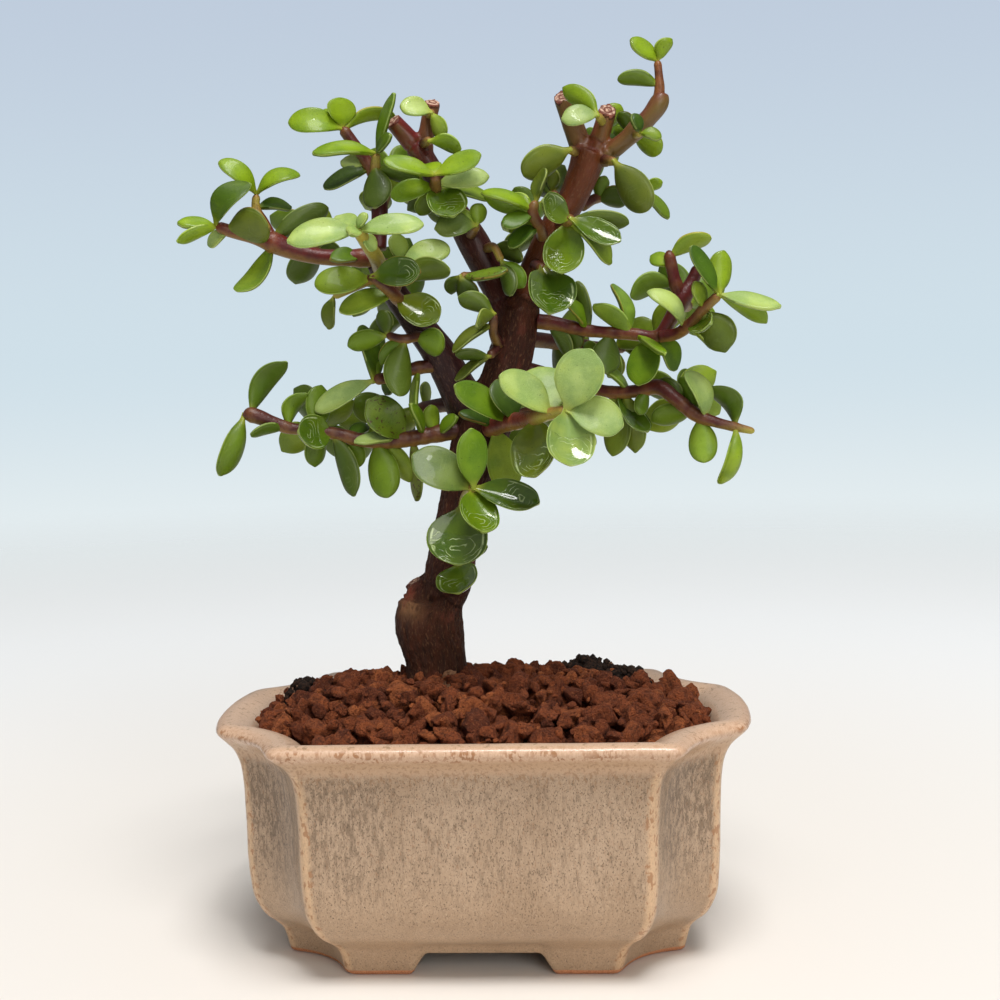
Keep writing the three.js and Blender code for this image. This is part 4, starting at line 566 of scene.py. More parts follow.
def spline_rows(rows, spacing):
    """Rows on a smooth curve through the given rows, about a spacing apart."""
    rows = np.array(rows, float)
    padded = np.concatenate([[2 * rows[0] - rows[1]], rows, [2 * rows[-1] - rows[-2]]])
    out = []
    for i in range(1, len(padded) - 2):
        p0, p1, p2, p3 = padded[i - 1:i + 3]
        before, span, after = [max(np.linalg.norm(d[:3]), 1e-6) for d in (p1 - p0, p2 - p1, p3 - p2)]
        m1 = span * ((p1 - p0) / before + (p2 - p1) / span) / 2
        m2 = span * ((p2 - p1) / span + (p3 - p2) / after) / 2
        n = max(1, math.ceil(span / spacing))
        for k in range(n):
            t = k / n
            out.append((2 * t ** 3 - 3 * t ** 2 + 1) * p1 + (t ** 3 - 2 * t ** 2 + t) * m1
                       + (3 * t ** 2 - 2 * t ** 3) * p2 + (t ** 3 - t ** 2) * m2)
    out.append(rows[-1])
    return np.array(out)


# ---------------------------------------------------------------- meshes
FIELDS = {"FLOAT": "value", "FLOAT_VECTOR": "vector", "FLOAT_COLOR": "color"}


def store(mesh, name, values, kind="FLOAT"):
    """Stores a value for each point of a mesh. A colour gets an alpha of 1."""
    values = np.asarray(values, np.float32)
    if kind == "FLOAT_COLOR":
        values = np.column_stack([values, np.ones(len(values), np.float32)])
    attribute = mesh.attributes.new(name, kind, "POINT")
    attribute.data.foreach_set(FIELDS[kind], values.ravel())


def added(name, data):
    """A new object in the scene."""
    made = bpy.data.objects.new(name, data)
    bpy.context.scene.collection.objects.link(made)
    return made


def applied(piece):
    """Works a piece's modifiers into its mesh."""
    bpy.context.view_layer.update()
    graph = bpy.context.evaluated_depsgraph_get()
    mesh = bpy.data.meshes.new_from_object(piece.evaluated_get(graph))
    piece.modifiers.clear()
    piece.data = mesh


class Shape:
    """Points, faces and values of a piece, gathered part by part."""

    def __init__(self):
        self.points = []
        self.faces = []
        self.slots = []
        self.values = {}
        self.count = 0

    def add(self, points, faces, slot=0, **values):
        """Adds points, arrays of faces, and by name a value for all of the points or for each."""
        n = len(points)
        self.points.append(np.asarray(points, float))
        for block in faces:
            self.faces.append(np.asarray(block, int) + self.count)
            self.slots.append(np.full(len(block), slot))
        for name, value in values.items():
            shape = np.shape(value)
            wide = shape if shape[:1] == (n,) else (n, *shape)
            self.values.setdefault(name, []).append((self.count, np.broadcast_to(value, wide)))
        self.count += n

    def build(self, name, materials):
        """The piece as an object, in metres in the frame's axes."""
        points = (np.concatenate(self.points) + POT_PLACE / MM) * MM
        corners = np.concatenate([block.ravel() for block in self.faces])
        sizes = np.concatenate([np.full(len(block), block.shape[1]) for block in self.faces])
        mesh = bpy.data.meshes.new(name)
        mesh.vertices.add(len(points))
        mesh.vertices.foreach_set("co", points.ravel())
        mesh.loops.add(len(corners))
        mesh.loops.foreach_set("vertex_index", corners)
        mesh.polygons.add(len(sizes))
        mesh.polygons.foreach_set("loop_start", np.concatenate([[0], np.cumsum(sizes)[:-1]]))
        mesh.polygons.foreach_set("loop_total", sizes)
        mesh.polygons.foreach_set("material_index", np.concatenate(self.slots))
        mesh.polygons.foreach_set("use_smooth", np.full(len(sizes), True))
        mesh.update(calc_edges=True)
        for layer, parts in self.values.items():
            wide = parts[0][1].shape[1:]
            full = np.zeros((len(points), *wide))
            for start, value in parts:
                full[start:start + len(value)] = value
            store(mesh, layer, full, "FLOAT_COLOR" if wide else "FLOAT")
        for material in materials:
            mesh.materials.append(material)
        return added(name, mesh)


def closed_faces(rings, sides):
    """Quads between rings of equal length, and a fan at each end to the two hubs that come after them."""
    i, j = np.meshgrid(np.arange(rings - 1), np.arange(sides), indexing="ij")
    a = i * sides + j
    b = i * sides + (j + 1) % sides
    quads = np.stack([a, b, b + sides, a + sides], -1).reshape(-1, 4)
    j = np.arange(sides)
    n = rings * sides
    first, last = [
        np.stack([start + j, start + (j + 1) % sides, np.full(sides, hub)], -1)
        for start, hub in ((0, n), (n - sides, n + 1))
    ]
    return [quads, first[:, ::-1], last]


def settle(piece, slot, *nodes):
    """Puts a finished piece on the frame's body, in the place of its nodes."""
    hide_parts(*nodes)
    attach(piece, "root")


# ---------------------------------------------------------------- pot
def pot_outline(half_x, half_y, bow):
    """The dense outline seen from above, from the middle of the front round to it again."""
    cut_y = 9 + 0.15 * half_y + 2 * bow
    side_x = half_x - bow
    front_x = side_x - CUT_X
    top_y = half_y - cut_y
    t = np.linspace(0, 1, CORNER_STEPS, endpoint=False)
    hollow = CORNER_HOLLOW * 4 * t * (1 - t) * math.sqrt(0.5)
    corner = np.stack([side_x - CUT_X * (1 - t) - hollow, -half_y + cut_y * t + hollow], -1)
    y = np.linspace(-top_y, 0, SIDE_STEPS, endpoint=False)
    side = np.stack([half_x - bow * (y / top_y) ** 2, y], -1)
    x = np.linspace(0, front_x, FRONT_STEPS, endpoint=False)
    front = np.stack([x, np.full(FRONT_STEPS, -half_y)], -1)
    quarter = np.concatenate([front, corner, side])
    right = np.concatenate([quarter, [[half_x, 0]], (quarter * [1, -1])[:0:-1]])
    return np.concatenate([right, [[0, half_y]], (right * [-1, 1])[:0:-1]])


def softened(outline, passes):
    """The closed outline with its ridges rounded."""
    for _ in range(passes):
        outline = 0.5 * outline + 0.25 * (np.roll(outline, 1, 0) + np.roll(outline, -1, 0))
    return outline


def ring_at(outline, z):
    """An outline lifted to a height, which may differ from point to point."""
    return np.column_stack([outline, np.broadcast_to(z, len(outline))])


def inside_at(z, clearance=0.0):
    """Half width, half depth and bow of the pot's inside at a height."""
    rows = np.array(POT_INSIDE)[::-1]
    half_x, half_y, bow = [np.interp(z, rows[:, 0], rows[:, k]) for k in (1, 2, 3)]
    return half_x - clearance, half_y - clearance, bow


def arch_lift(points):
    """How far the arches between the feet lift the foot's bottom edge."""
    x, y = np.abs(points[:, 0]), np.abs(points[:, 1])
    arches = [
        (out > wall) * (1 - step(half - ease, half + ease, along))
        for out, along, (half, ease, wall) in ((y, x, FRONT_ARCH), (x, y, SIDE_ARCH))
    ]
    return ARCH_HEIGHT * np.maximum(*arches)


def painted_shade_zones(ring):
    """Where shade is painted on the glaze: in the hollow corners, and over the left third of the front."""
    x, y = np.abs(ring[:, 0]), np.abs(ring[:, 1])
    corner = step(37, 41, x) * step(12, 20, y)
    third = (ring[:, 1] < -20) * step(-14, -26, ring[:, 0]) * (1 - step(34, 40, x))
    return np.maximum(0.8 * corner, 0.6 * third)


def from_ridges():
    """For each column of the pot, how many columns away the nearest ridge is."""
    half = 2 * (FRONT_STEPS + CORNER_STEPS + SIDE_STEPS)
    marks = [FRONT_STEPS, FRONT_STEPS + CORNER_STEPS]
    marks += [half - m for m in marks]
    marks += [m + half for m in marks]
    away = np.abs(np.arange(2 * half)[:, None] - np.array(marks)[None, :])
    return np.minimum(away, 2 * half - away).min(1).astype(float)


def pot_shape(settings):
    """Rings from under the floor down inside the foot, up the outside, over the lip and down inside."""
    outside = spline_rows(POT_OUTSIDE, 0.8)
    inside = spline_rows([POT_OUTSIDE[-1], *POT_INSIDE], 1.2)[1:]
    foot_x = FOOT_HALF_X - FOOT_WALL
    foot_y = FOOT_HALF_Y - FOOT_WALL
    under = [[z, foot_x, foot_y, 0.6] for z in (FLOOR_UNDER, 6, 3, 0.4)]
    under.append([0, foot_x + 0.4, foot_y + 0.4, 0.6])
    rows = np.concatenate([under, POT_BOTTOM, outside[1:], inside])
    first_outside = len(under) + len(POT_BOTTOM)
    last_outside = first_outside + len(outside) - 2
    rings = []
    values = {"ridge": [], "shade": [], "bare": [], "inside": []}
    for i, (z, half_x, half_y, bow) in enumerate(rows):
        sharp = pot_outline(half_x, half_y, bow)
        ring = ring_at(softened(sharp, 5 if i >= first_outside else 3), z)
        top = FOOT_TOP if i >= len(under) else FLOOR_UNDER
        if z < top:
            lift = arch_lift(ring)
            ring[:, 2] = lift + (top - lift) * z / top
        rings.append(ring)
        on_wall = i >= first_outside and z < LIP_FOOT
        values["ridge"].append(on_wall * hump(from_ridges(), RIDGE_REACH))
        # painted shade, fading out toward the foot and under the lip
        values["shade"].append(painted_shade_zones(ring) * step(14, 36, z) * (1 - step(46, 49, z)))
        values["bare"].append((i <= last_outside) * (1 - step(0.2, 2.2, ring[:, 2])))
        values["inside"].append(np.full(len(ring), float(i > last_outside)))
    points = np.concatenate(rings)
    wobble = settings.unevenness * noise_at(points * [1, 1, 0.7], 0.07, 3.0, 2)
    wobble += 0.05 * noise_at(points, 0.4, 5.0, 1)
    wobble *= step(1.5, 12, points[:, 2])
    flat = points[:, :2]
    points[:, :2] += flat / np.maximum(1, np.linalg.norm(flat, axis=1))[:, None] * wobble[:, None]
    hubs = [[0, 0, FLOOR_UNDER], [0, 0, FLOOR_TOP]]
    hub_values = {"bare": [1, 0], "inside": [0, 1]}
    shape = Shape()
    shape.add(
        np.concatenate([points, hubs]), closed_faces(len(rings), len(rings[0])),
        **{name: np.concatenate([*parts, hub_values.get(name, [0, 0])]) for name, parts in values.items()},
    )
    return shape


def drill(pot):
    """Cuts the two drain holes through the floor."""
    middle = (FLOOR_TOP + FLOOR_UNDER) / 2 * MM
    for side in (-1, 1):
        work = bmesh.new()
        radius = DRAIN_RADIUS * MM
        depth = (FLOOR_TOP - FLOOR_UNDER + DRAIN_OVERCUT) * MM
        bmesh.ops.create_cone(work, cap_ends=True, segments=DRAIN_SIDES, radius1=radius,
                              radius2=radius, depth=depth)
        mesh = bpy.data.meshes.new("drill")
        work.to_mesh(mesh)
        work.free()
        bit = added("drill", mesh)
        bit.location = (side * DRAIN_X * MM + POT_PLACE[0], POT_PLACE[1], middle)
        cut = pot.modifiers.new("drain", "BOOLEAN")
        cut.operation = "DIFFERENCE"
        cut.solver = "MANIFOLD"
        cut.object = bit
        applied(pot)
        bpy.data.objects.remove(bit)


# ---------------------------------------------------------------- soil
def soil_height(x, y):
    """The height of the heap of granules."""
    half_x, half_y, _ = inside_at(MOUND_EDGE)
    u = np.minimum(1, np.abs(x) / half_x)
    v = np.minimum(1, np.abs(y) / half_y)
    heap = (1 - u ** np.where(x < 0, 2.8, 2.0)) * (1 - v ** 2.4)
    bank_x, bank_y, reach, rise = MOUND_BANK
    bank = rise * hump(x - bank_x, reach) * hump(y - bank_y, reach)
    return MOUND_EDGE + (MOUND_RISE + MOUND_TILT * x) * heap + bank


def ball(levels):
    """Points and faces of a round ball of small triangles."""
    work = bmesh.new()
    bmesh.ops.create_icosphere(work, subdivisions=levels, radius=1.0)
    points = np.array([v.co for v in work.verts])
    faces = np.array([[v.index for v in f.verts] for f in work.faces])
    work.free()
    return points, faces


def granule(points, chance, size, craggy):
    """A broken lump of fired clay, and how deep in its pits each point lies."""
    out = points.copy()
    for _ in range(GRANULE_FACETS):
        facing = unit(chance.normal(size=3))
        reach = chance.uniform(0.42, 0.8)
        over = np.maximum(0, out @ facing - reach)
        out -= over[:, None] * facing
    out = out * [1.12, chance.uniform(0.72, 1.0), chance.uniform(0.6, 0.92)]
    seed = chance.uniform(0, 50)
    bumps = 0.12 * noise_at(out, 1.1, seed, 1)
    rough = np.zeros(len(out))
    if craggy:
        rough = 0.3 - np.abs(noise_at(out, 2.3, seed + 3, 3))
        rough += 0.35 * noise_at(out, 6.0, seed + 7, 2)
        bumps += 0.19 * rough
    out = out * (1 + bumps)[:, None]
    turn = np.array(Matrix.Rotation(chance.uniform(0, 6.28), 3, Vector(chance.normal(size=3))))
    return (out * size / 2) @ turn.T, step(0.12, -0.5, rough)


def wall_room(x, y, outline):
    """How far inside a closed outline a point lies; negative outside it."""
    start_x, start_y = outline.T
    span_x, span_y = (np.roll(outline, -1, 0) - outline).T
    t = ((x - start_x) * span_x + (y - start_y) * span_y) / (span_x ** 2 + span_y ** 2)
    t = np.clip(t, 0, 1)
    miss = np.hypot(start_x + t * span_x - x, start_y + t * span_y - y).min()
    spans = (start_y > y) != (start_y + span_y > y)
    left = x < start_x + span_x * (y - start_y) / np.where(spans, span_y, 1)
    return miss if np.sum(spans & left) % 2 else -miss


def strewn(chance, count, sizes, room, tries):
    """Places for granules: [x, y, size] with no two nearer than a share of their sizes."""
    half_x, half_y, bow = inside_at(MOUND_EDGE)
    outline = pot_outline(half_x, half_y, bow)[::4]
    placed = np.zeros((0, 3))
    foot_x, foot_y, foot_radius = TRUNK_FOOT
    for _ in range(tries):
        if len(placed) >= count:
            break
        size = chance.uniform(*sizes)
        x = chance.uniform(-half_x, half_x)
        y = chance.uniform(-half_y, half_y)
        away = np.hypot(placed[:, 0] - x, placed[:, 1] - y)
        if np.any(away < room * (placed[:, 2] + size) / 2):
            continue
        if math.hypot(x - foot_x, y - foot_y) < foot_radius + 0.35 * size:
            continue
        if wall_room(x, y, outline) < WALL_ROOM * size - 0.3:
            continue
        placed = np.vstack([placed, [x, y, size]])
    return placed


def over_compost(x, y):
    """True where the dark compost shows instead of granules."""
    return any(((x - a) / rx) ** 2 + ((y - b) / ry) ** 2 < 0.55 for a, b, _, rx, ry, _ in COMPOST_LUMPS)


def granules_shapes():
    """The loose granules: the large ones on top, those under them and the small ones between."""
    chance = np.random.default_rng(SEED)
    balls = {level: ball(level) for level in (2, 3, 4)}
    shapes = {kind: Shape() for kind in ("top", "under", "small")}
    for kind, count, sizes, room, lift, tries, level in GRANULE_LAYERS:
        points, faces = balls[level]
        for x, y, size in strewn(chance, count, sizes, room, tries):
            stray = chance.uniform(-GRANULE_STRAY, GRANULE_STRAY)
            z = soil_height(x, y) + lift - GRANULE_SINK * size + stray
            tint = chance.uniform()
            if over_compost(x, y) and tint < GRANULE_SPARED:
                continue
            lump, pits = granule(points, chance, size, level > 2)
            shapes[kind].add(lump + [x, y, z], [faces], tint=tint, pit=pits)
    return shapes


def compost_shape(settings):
    """Uneven dark soil under the granules, with the lumps and roots that stand up through them."""
    rings = []
    for z in COMPOST_HEIGHTS:
        rings.append(ring_at(softened(pot_outline(*inside_at(z, COMPOST_ROOM)), 3)[::2], z))
    outline = softened(pot_outline(*inside_at(MOUND_EDGE - 4, COMPOST_ROOM)), 3)[::2]
    for share in np.linspace(1, 0.02, COMPOST_RINGS):
        flat = outline * share
        rings.append(ring_at(flat, soil_height(flat[:, 0], flat[:, 1]) - COMPOST_UNDER))
    points = np.concatenate(rings)
    points[:, 2] += 0.7 * noise_at(points, 0.3, 8.0, 2) * step(40, 46, points[:, 2])
    hubs = [[0, 0, COMPOST_FOOT], [0, 0, points[-1][2]]]
    shape = Shape()
    shape.add(np.concatenate([points, hubs]), closed_faces(len(rings), len(outline)), slot=2)
    base, faces = ball(5)
    for i, (x, y, z, *radii) in enumerate(COMPOST_LUMPS):
        lump = base * radii
        rough = 0.13 * noise_at(lump, 0.22, i + 1, 3) + 0.09 * noise_at(lump, 0.9, i + 9, 3)
        shape.add(lump * (1 + rough)[:, None] + [x, y, z], [faces])
    crumbs(shape, settings.crumbs)
    root_hairs(shape, settings.roots)
    return shape


def crumbs(shape, count):
    """Small clods strewn over the lumps of compost."""
    chance = np.random.default_rng(SEED + 2)
    base, faces = ball(1)
    for i in range(count):
        x, y, z, *radii = COMPOST_LUMPS[i % len(COMPOST_LUMPS)]
        out = unit(chance.normal(size=3) * [1, 1, 0.8] + [0, -0.2, 0.9])
        size = chance.uniform(0.4, 1.4) + 1.6 * chance.uniform() ** 4
        clod = base * (1 + 0.4 * noise_at(base, 1.4, i * 0.7, 2))[:, None] * size * 0.6
        shape.add(clod + np.array([x, y, z]) + out * radii * chance.uniform(0.98, 1.08), [faces])


def root_hairs(shape, count):
    """Fine roots that lie over the lumps of compost."""
    chance = np.random.default_rng(SEED + 1)
    for i in range(count):
        x, y, z, *radii = COMPOST_LUMPS[i % len(COMPOST_LUMPS)]
        turn = chance.uniform(0, 2 * math.pi)
        lean = chance.uniform(0.2, 1.1)
        line = []
        for _ in range(ROOT_POINTS):
            flat = math.sin(lean)
            out = np.array([math.cos(turn) * flat, math.sin(turn) * flat, math.cos(lean)])
            line.append(np.array([x, y, z]) + out * radii * 1.03)
            turn += chance.uniform(-0.1, 0.25)
            lean += chance.uniform(-0.03, 0.13)
        tube, faces = sweep(np.array(line), np.full(ROOT_POINTS, chance.uniform(0.12, 0.24)), 6)
        shape.add(tube, faces, slot=1)


# ---------------------------------------------------------------- trunk and stems
def sweep(points, radii, sides):
    """A tube along points, with its ends slightly domed."""
    tangents = headings(points)
    side = across(TUBE_FACING, tangents[0])
    turns = np.linspace(0, 2 * math.pi, sides, endpoint=False)
    rings = []
    for point, radius, tangent in zip(points, radii, tangents):
        side = across(side, tangent)
        out = np.outer(np.cos(turns), side) + np.outer(np.sin(turns), np.cross(tangent, side))
        rings.append(point + out * radius)
    hubs = [points[0] - tangents[0] * 0.1 * radii[0], points[-1] + tangents[-1] * 0.25 * radii[-1]]
    return np.concatenate([*rings, hubs]), closed_faces(len(points), sides)


def smooth_stem(points, spacing):
    """Points and radii on a smooth curve through front-view points."""
    dense = spline_rows([[*place(p), p[3]] for p in points], spacing)
    return dense[:, :3], dense[:, 3]


def limb_lines():
    """Each limb of the trunk as dense points and radii."""
    return {name: smooth_stem(points, 0.8) for name, points in TRUNK.items()}


def sawn_facing(name, tangent):
    return unit(tangent + np.array(SAWN[name]))


def trunk_shape():
    """The limbs as crossing tubes, with flat ends where they are sawn."""
    shape = Shape()
    last_ring = slice(-TRUNK_SIDES - 2, -2)
    for name, (points, radii) in limb_lines().items():
        tube, faces = sweep(points, radii * 1.02, TRUNK_SIDES)
        if name in SAWN:
            tangent = unit(points[-1] - points[-2])
            facing = sawn_facing(name, tangent)
            over = (tube[last_ring] - points[-1]) @ facing / np.dot(tangent, facing)
            tube[last_ring] -= over[:, None] * tangent
            tube[-1] = points[-1] + tangent * 0.1
        shape.add(tube, faces)
    return shape


def skinned(piece, voxel):
    """Makes a piece of crossing closed parts one skin of even faces."""
    work = bmesh.new()
    work.from_mesh(piece.data)
    bmesh.ops.recalc_face_normals(work, faces=work.faces)
    work.to_mesh(piece.data)
    work.free()
    modifier = piece.modifiers.new("skin", "REMESH")
    modifier.mode = "VOXEL"
    modifier.voxel_size = voxel * MM
    modifier.use_smooth_shade = True
    applied(piece)


def on_limbs(points):
    """For each point, its place across and along its limb, how sawn it is, and its share of the sawn face."""
    best = np.full(len(points), np.inf)
    grain = np.zeros((len(points), 3))
    cut = np.zeros(len(points))
    ring = np.zeros(len(points))
    rows = np.arange(len(points))
    for order, (name, (line, radii)) in enumerate(limb_lines().items()):
        tangents = headings(line)
        apart = points[:, None, :] - line[None, :, :]
        away = np.linalg.norm(apart, axis=2)
        near = np.argmin(away - 0.9 * radii[None, :], axis=1)
        miss = away[rows, near] - radii[near]
        better = miss < best
        forward = np.sum(apart[rows, near] * tangents[near], axis=1)
        radial = apart[rows, near] - forward[:, None] * tangents[near]
        middle = tangents[len(tangents) // 2]
        side = across(TUBE_FACING, middle)
        along = walked_along(line)[near] + forward + 37.0 * order
        grain[better] = np.column_stack([radial @ side, radial @ np.cross(middle, side), along])[better]
        if name in SAWN:
            from_end = (points - line[-1]) @ sawn_facing(name, tangents[-1])
            radius = np.linalg.norm(points - line[-1] - from_end[:, None] * tangents[-1], axis=1)
            top = step(-0.5, -0.15, from_end) * (radius < radii[-1] * 1.3)
            cut = np.maximum(cut, np.where(better, top, 0))
            ring[better] = (radius / radii[-1])[better]
        best = np.minimum(best, miss)
    return grain, cut, ring


# ---------------------------------------------------------------- laying the leaves
def half_width(width, t):
    return width / 2 * np.interp(t, LEAF_CUTS[:, 0], LEAF_CUTS[:, 1])


def rise(leaf, t):
    """How far a blade arches out of its straight line."""
    return leaf["arch"] * leaf["length"] * 4 * t * (1 - t)


def grown_leaves(points, spacing, size, seed):
    """The leaves of a stem that grows by a rule: crossed pairs, and a smaller pair at the tip."""
    line = [place(p) for p in points]
    stops = []
    walked = spacing * 0.3
    for a, b in zip(line, line[1:]):
        span = np.linalg.norm(b - a)
        while walked < span:
            stops.append((a + (b - a) * walked / span, (b - a) / span))
            walked += spacing
        walked -= span
    stops = stops[1:] + [(line[-1], unit(line[-1] - line[-2]))]
    leaves = []
    for order, (base, stemward) in enumerate(stops):
        last = order == len(stops) - 1
        spread = math.radians(TIP_SPREAD if last else PAIR_SPREAD)
        turn = math.radians(90 * order + 40 * draw(seed + order))
        out = turned(across(np.array([0.4, 0.1, 1]), stemward), stemward, turn)
        for sign in (1, -1):
            along = unit(stemward * math.cos(spread) + out * sign * math.sin(spread))
            face = across(stemward + np.array([0, 0, SKYWARD]), along)
            span = size * (0.78 if last else 1) * (0.86 + 0.28 * draw(seed + order + 0.5 * sign))
            width = span * (0.6 + 0.14 * draw(seed + order + 0.3 * sign))
            leaves.append({"base": base, "along": along, "face": face, "bend": face,
                           "length": span, "width": width, "arch": LEAF_ARCH})
    return leaves


def on_stem(stems, x, z):
    """The nearest point of a spray's stems to a front-view point."""
    best = None
    for points in stems:
        for a, b in zip(points, points[1:]):
            dx, dz = b[0] - a[0], b[1] - a[1]
            t = min(1, max(0, ((x - a[0]) * dx + (z - a[1]) * dz) / (dx * dx + dz * dz)))
            miss = math.hypot(a[0] + dx * t - x, a[1] + dz * t - z)
            if best is None or miss < best[0]:
                best = (miss, [v + (w - v) * t for v, w in zip(a, b)])
    return best[1]


def drawn_leaf(stems, foot_x, foot_z, tip_x, tip_z, lean, facing, width, arch=LEAF_ARCH):
    """A leaf written in the front view."""
    root = on_stem(stems, foot_x, foot_z)
    base = place(root)
    tip = place([tip_x, tip_z, root[2]])
    to_eye = unit(EYE - base)
    flat = (tip - base) - to_eye * np.dot(tip - base, to_eye)
    lean, facing = math.radians(lean), math.radians(facing)
    along = unit(flat) * math.cos(lean) + to_eye * math.sin(lean)
    front = across(to_eye, along)
    up = np.cross(along, front)
    if up[2] < 0:
        up = -up
    face = up * math.cos(facing) + front * math.sin(facing)
    span = min(LEAF_LONGEST, max(LEAF_SHORTEST, np.linalg.norm(flat) / math.cos(lean)))
    return {"base": base, "along": along, "face": face, "bend": to_eye,
            "length": span, "width": width, "arch": arch}


# places on a blade, as shares of its length and half width, that are tested against the other blades
SAMPLES = np.array([(t, s) for t in (0.3, 0.45, 0.6, 0.75, 0.88, 1) for s in (-1, -0.5, 0, 0.5, 1)])
BENDS = (0, 6, -6, 12, -12, 18, -18, 25, -25, 33, -33, 42, -42)
TURNS = (0, 5, -5, 10, -10, 16, -16, 24, -24, 34, -34)
SIZES = (1, 0.92, 0.84, 0.75, 0.66)
TRIES = sorted(
    ((bend, turn, size) for size in SIZES for turn in TURNS for bend in BENDS),
    key=lambda c: 5 * abs(c[0]) + 9 * abs(c[1]) + math.floor(1000 * (1 - c[2]) + 0.5),
)


def samples_of(leaf):
    side = np.cross(leaf["along"], leaf["face"])
    t, s = SAMPLES[:, :1], SAMPLES[:, 1:]
    half = half_width(leaf["width"], t)
    return leaf["base"] + leaf["along"] * t * leaf["length"] + side * s * half + leaf["face"] * rise(leaf, t)


def points_in_leaf(points, leaf, clear):
    """Which of the points lie in a blade or within a distance of it."""
    away = points - leaf["base"]
    t = np.sum(away * leaf["along"], -1) / leaf["length"]
    v = np.sum(away * leaf["side"], -1)
    w = np.sum(away * leaf["face"], -1) - rise(leaf, t)
    within = np.abs(v) <= half_width(leaf["width"], t) + clear
    return (t >= 0) & (t <= 1.04) & within & (np.abs(w) < LEAF_THICK + clear)


class Placed:
    """The leaves and stems that already stand."""

    def __init__(self, bones):
        self.leaves = []
        self.bones = bones

    def add(self, leaf):
        leaf["samples"] = samples_of(leaf)
        self.leaves.append(leaf)

    def crossed(self, leaf):
        """True where a leaf would pass through another leaf or a stem."""
        samples = samples_of(leaf)
        for bone in self.bones:
            if bone["owner"] == leaf["owner"]:
                continue
            reach = leaf["length"] + bone["radius"] + 3 + bone["span"]
            if np.linalg.norm(bone["a"] - leaf["base"]) > reach:
                continue
            t = np.clip((samples - bone["a"]) @ bone["line"] / bone["span"] ** 2, 0, 1)
            miss = np.linalg.norm(samples - bone["a"] - t[:, None] * bone["line"], axis=1)
            if np.any(miss < bone["radius"] + 0.55 * LEAF_THICK + CLEAR):
                return True
        for other in self.leaves:
            if np.linalg.norm(other["base"] - leaf["base"]) > leaf["length"] + other["length"] + 2:
                continue
            clear = OWN_CLEAR if other["owner"] == leaf["owner"] else CLEAR
            if points_in_leaf(samples, other, clear).any():
                return True
            if points_in_leaf(other["samples"], leaf, clear).any():
                return True
        return False


def bent(leaf, bend, turn, size):
    """The leaf bent up or down, turned sideways and made smaller."""
    hinge = unit(np.cross(leaf["along"], leaf["bend"]))
    made = dict(leaf)
    for key in ("along", "face"):
        v = turned(leaf[key], hinge, math.radians(bend))
        made[key] = turned(v, leaf["bend"], math.radians(turn))
    made["side"] = np.cross(made["along"], made["face"])
    made["length"] = leaf["length"] * size
    made["width"] = leaf["width"] * size
    return made


def bones_of(stems, owner):
    """The straight stretches of stems, which leaves keep clear of."""
    bones = []
    for points in stems:
        for p, q in zip(points, points[1:]):
            a, b = place(p), place(q)
            bones.append({"a": a, "line": b - a, "span": np.linalg.norm(b - a),
                          "radius": max(p[3], q[3]), "owner": owner})
    return bones


def lay_leaves():
    """Every leaf, each turned as little as it takes to stand clear of what stands already."""
    bones = bones_of(TRUNK.values(), "trunk")
    wanted = []
    for name, (stems, leaves) in SPRAYS.items():
        bones += bones_of(stems, name)
        for i, row in enumerate(leaves):
            wanted.append({**drawn_leaf(stems, *row), "owner": name, "index": i})
    for order, (name, spacing, size, points) in enumerate(GROWN):
        bones += bones_of([points], name)
        for leaf in grown_leaves(points, spacing, size, SEED + order):
            wanted.append({**leaf, "owner": name, "index": None})
    placed = Placed(bones)
    for leaf in wanted:
        for change in TRIES:
            tried = bent(leaf, *change)
            if not placed.crossed(tried):
                placed.add(tried)
                break
    return placed.leaves


def stems_by_name():
    """The stems of every leafy node, by node name."""
    stems = {name: list(spray[0]) for name, spray in SPRAYS.items()}
    for name, _, _, points in GROWN:
        stems.setdefault(name, []).append(points)
    return stems


# ---------------------------------------------------------------- node trees
def paint(red, green, blue):
    """A display colour, 0 to 255, as a shader colour."""
    channels = [c / 255 for c in (red, green, blue)]
    return (*[c / 12.92 if c < 0.04045 else ((c + 0.055) / 1.055) ** 2.4 for c in channels], 1.0)


def painted(colour):
    """A display colour as three shader channels."""
    return np.array(paint(*colour)[:3])


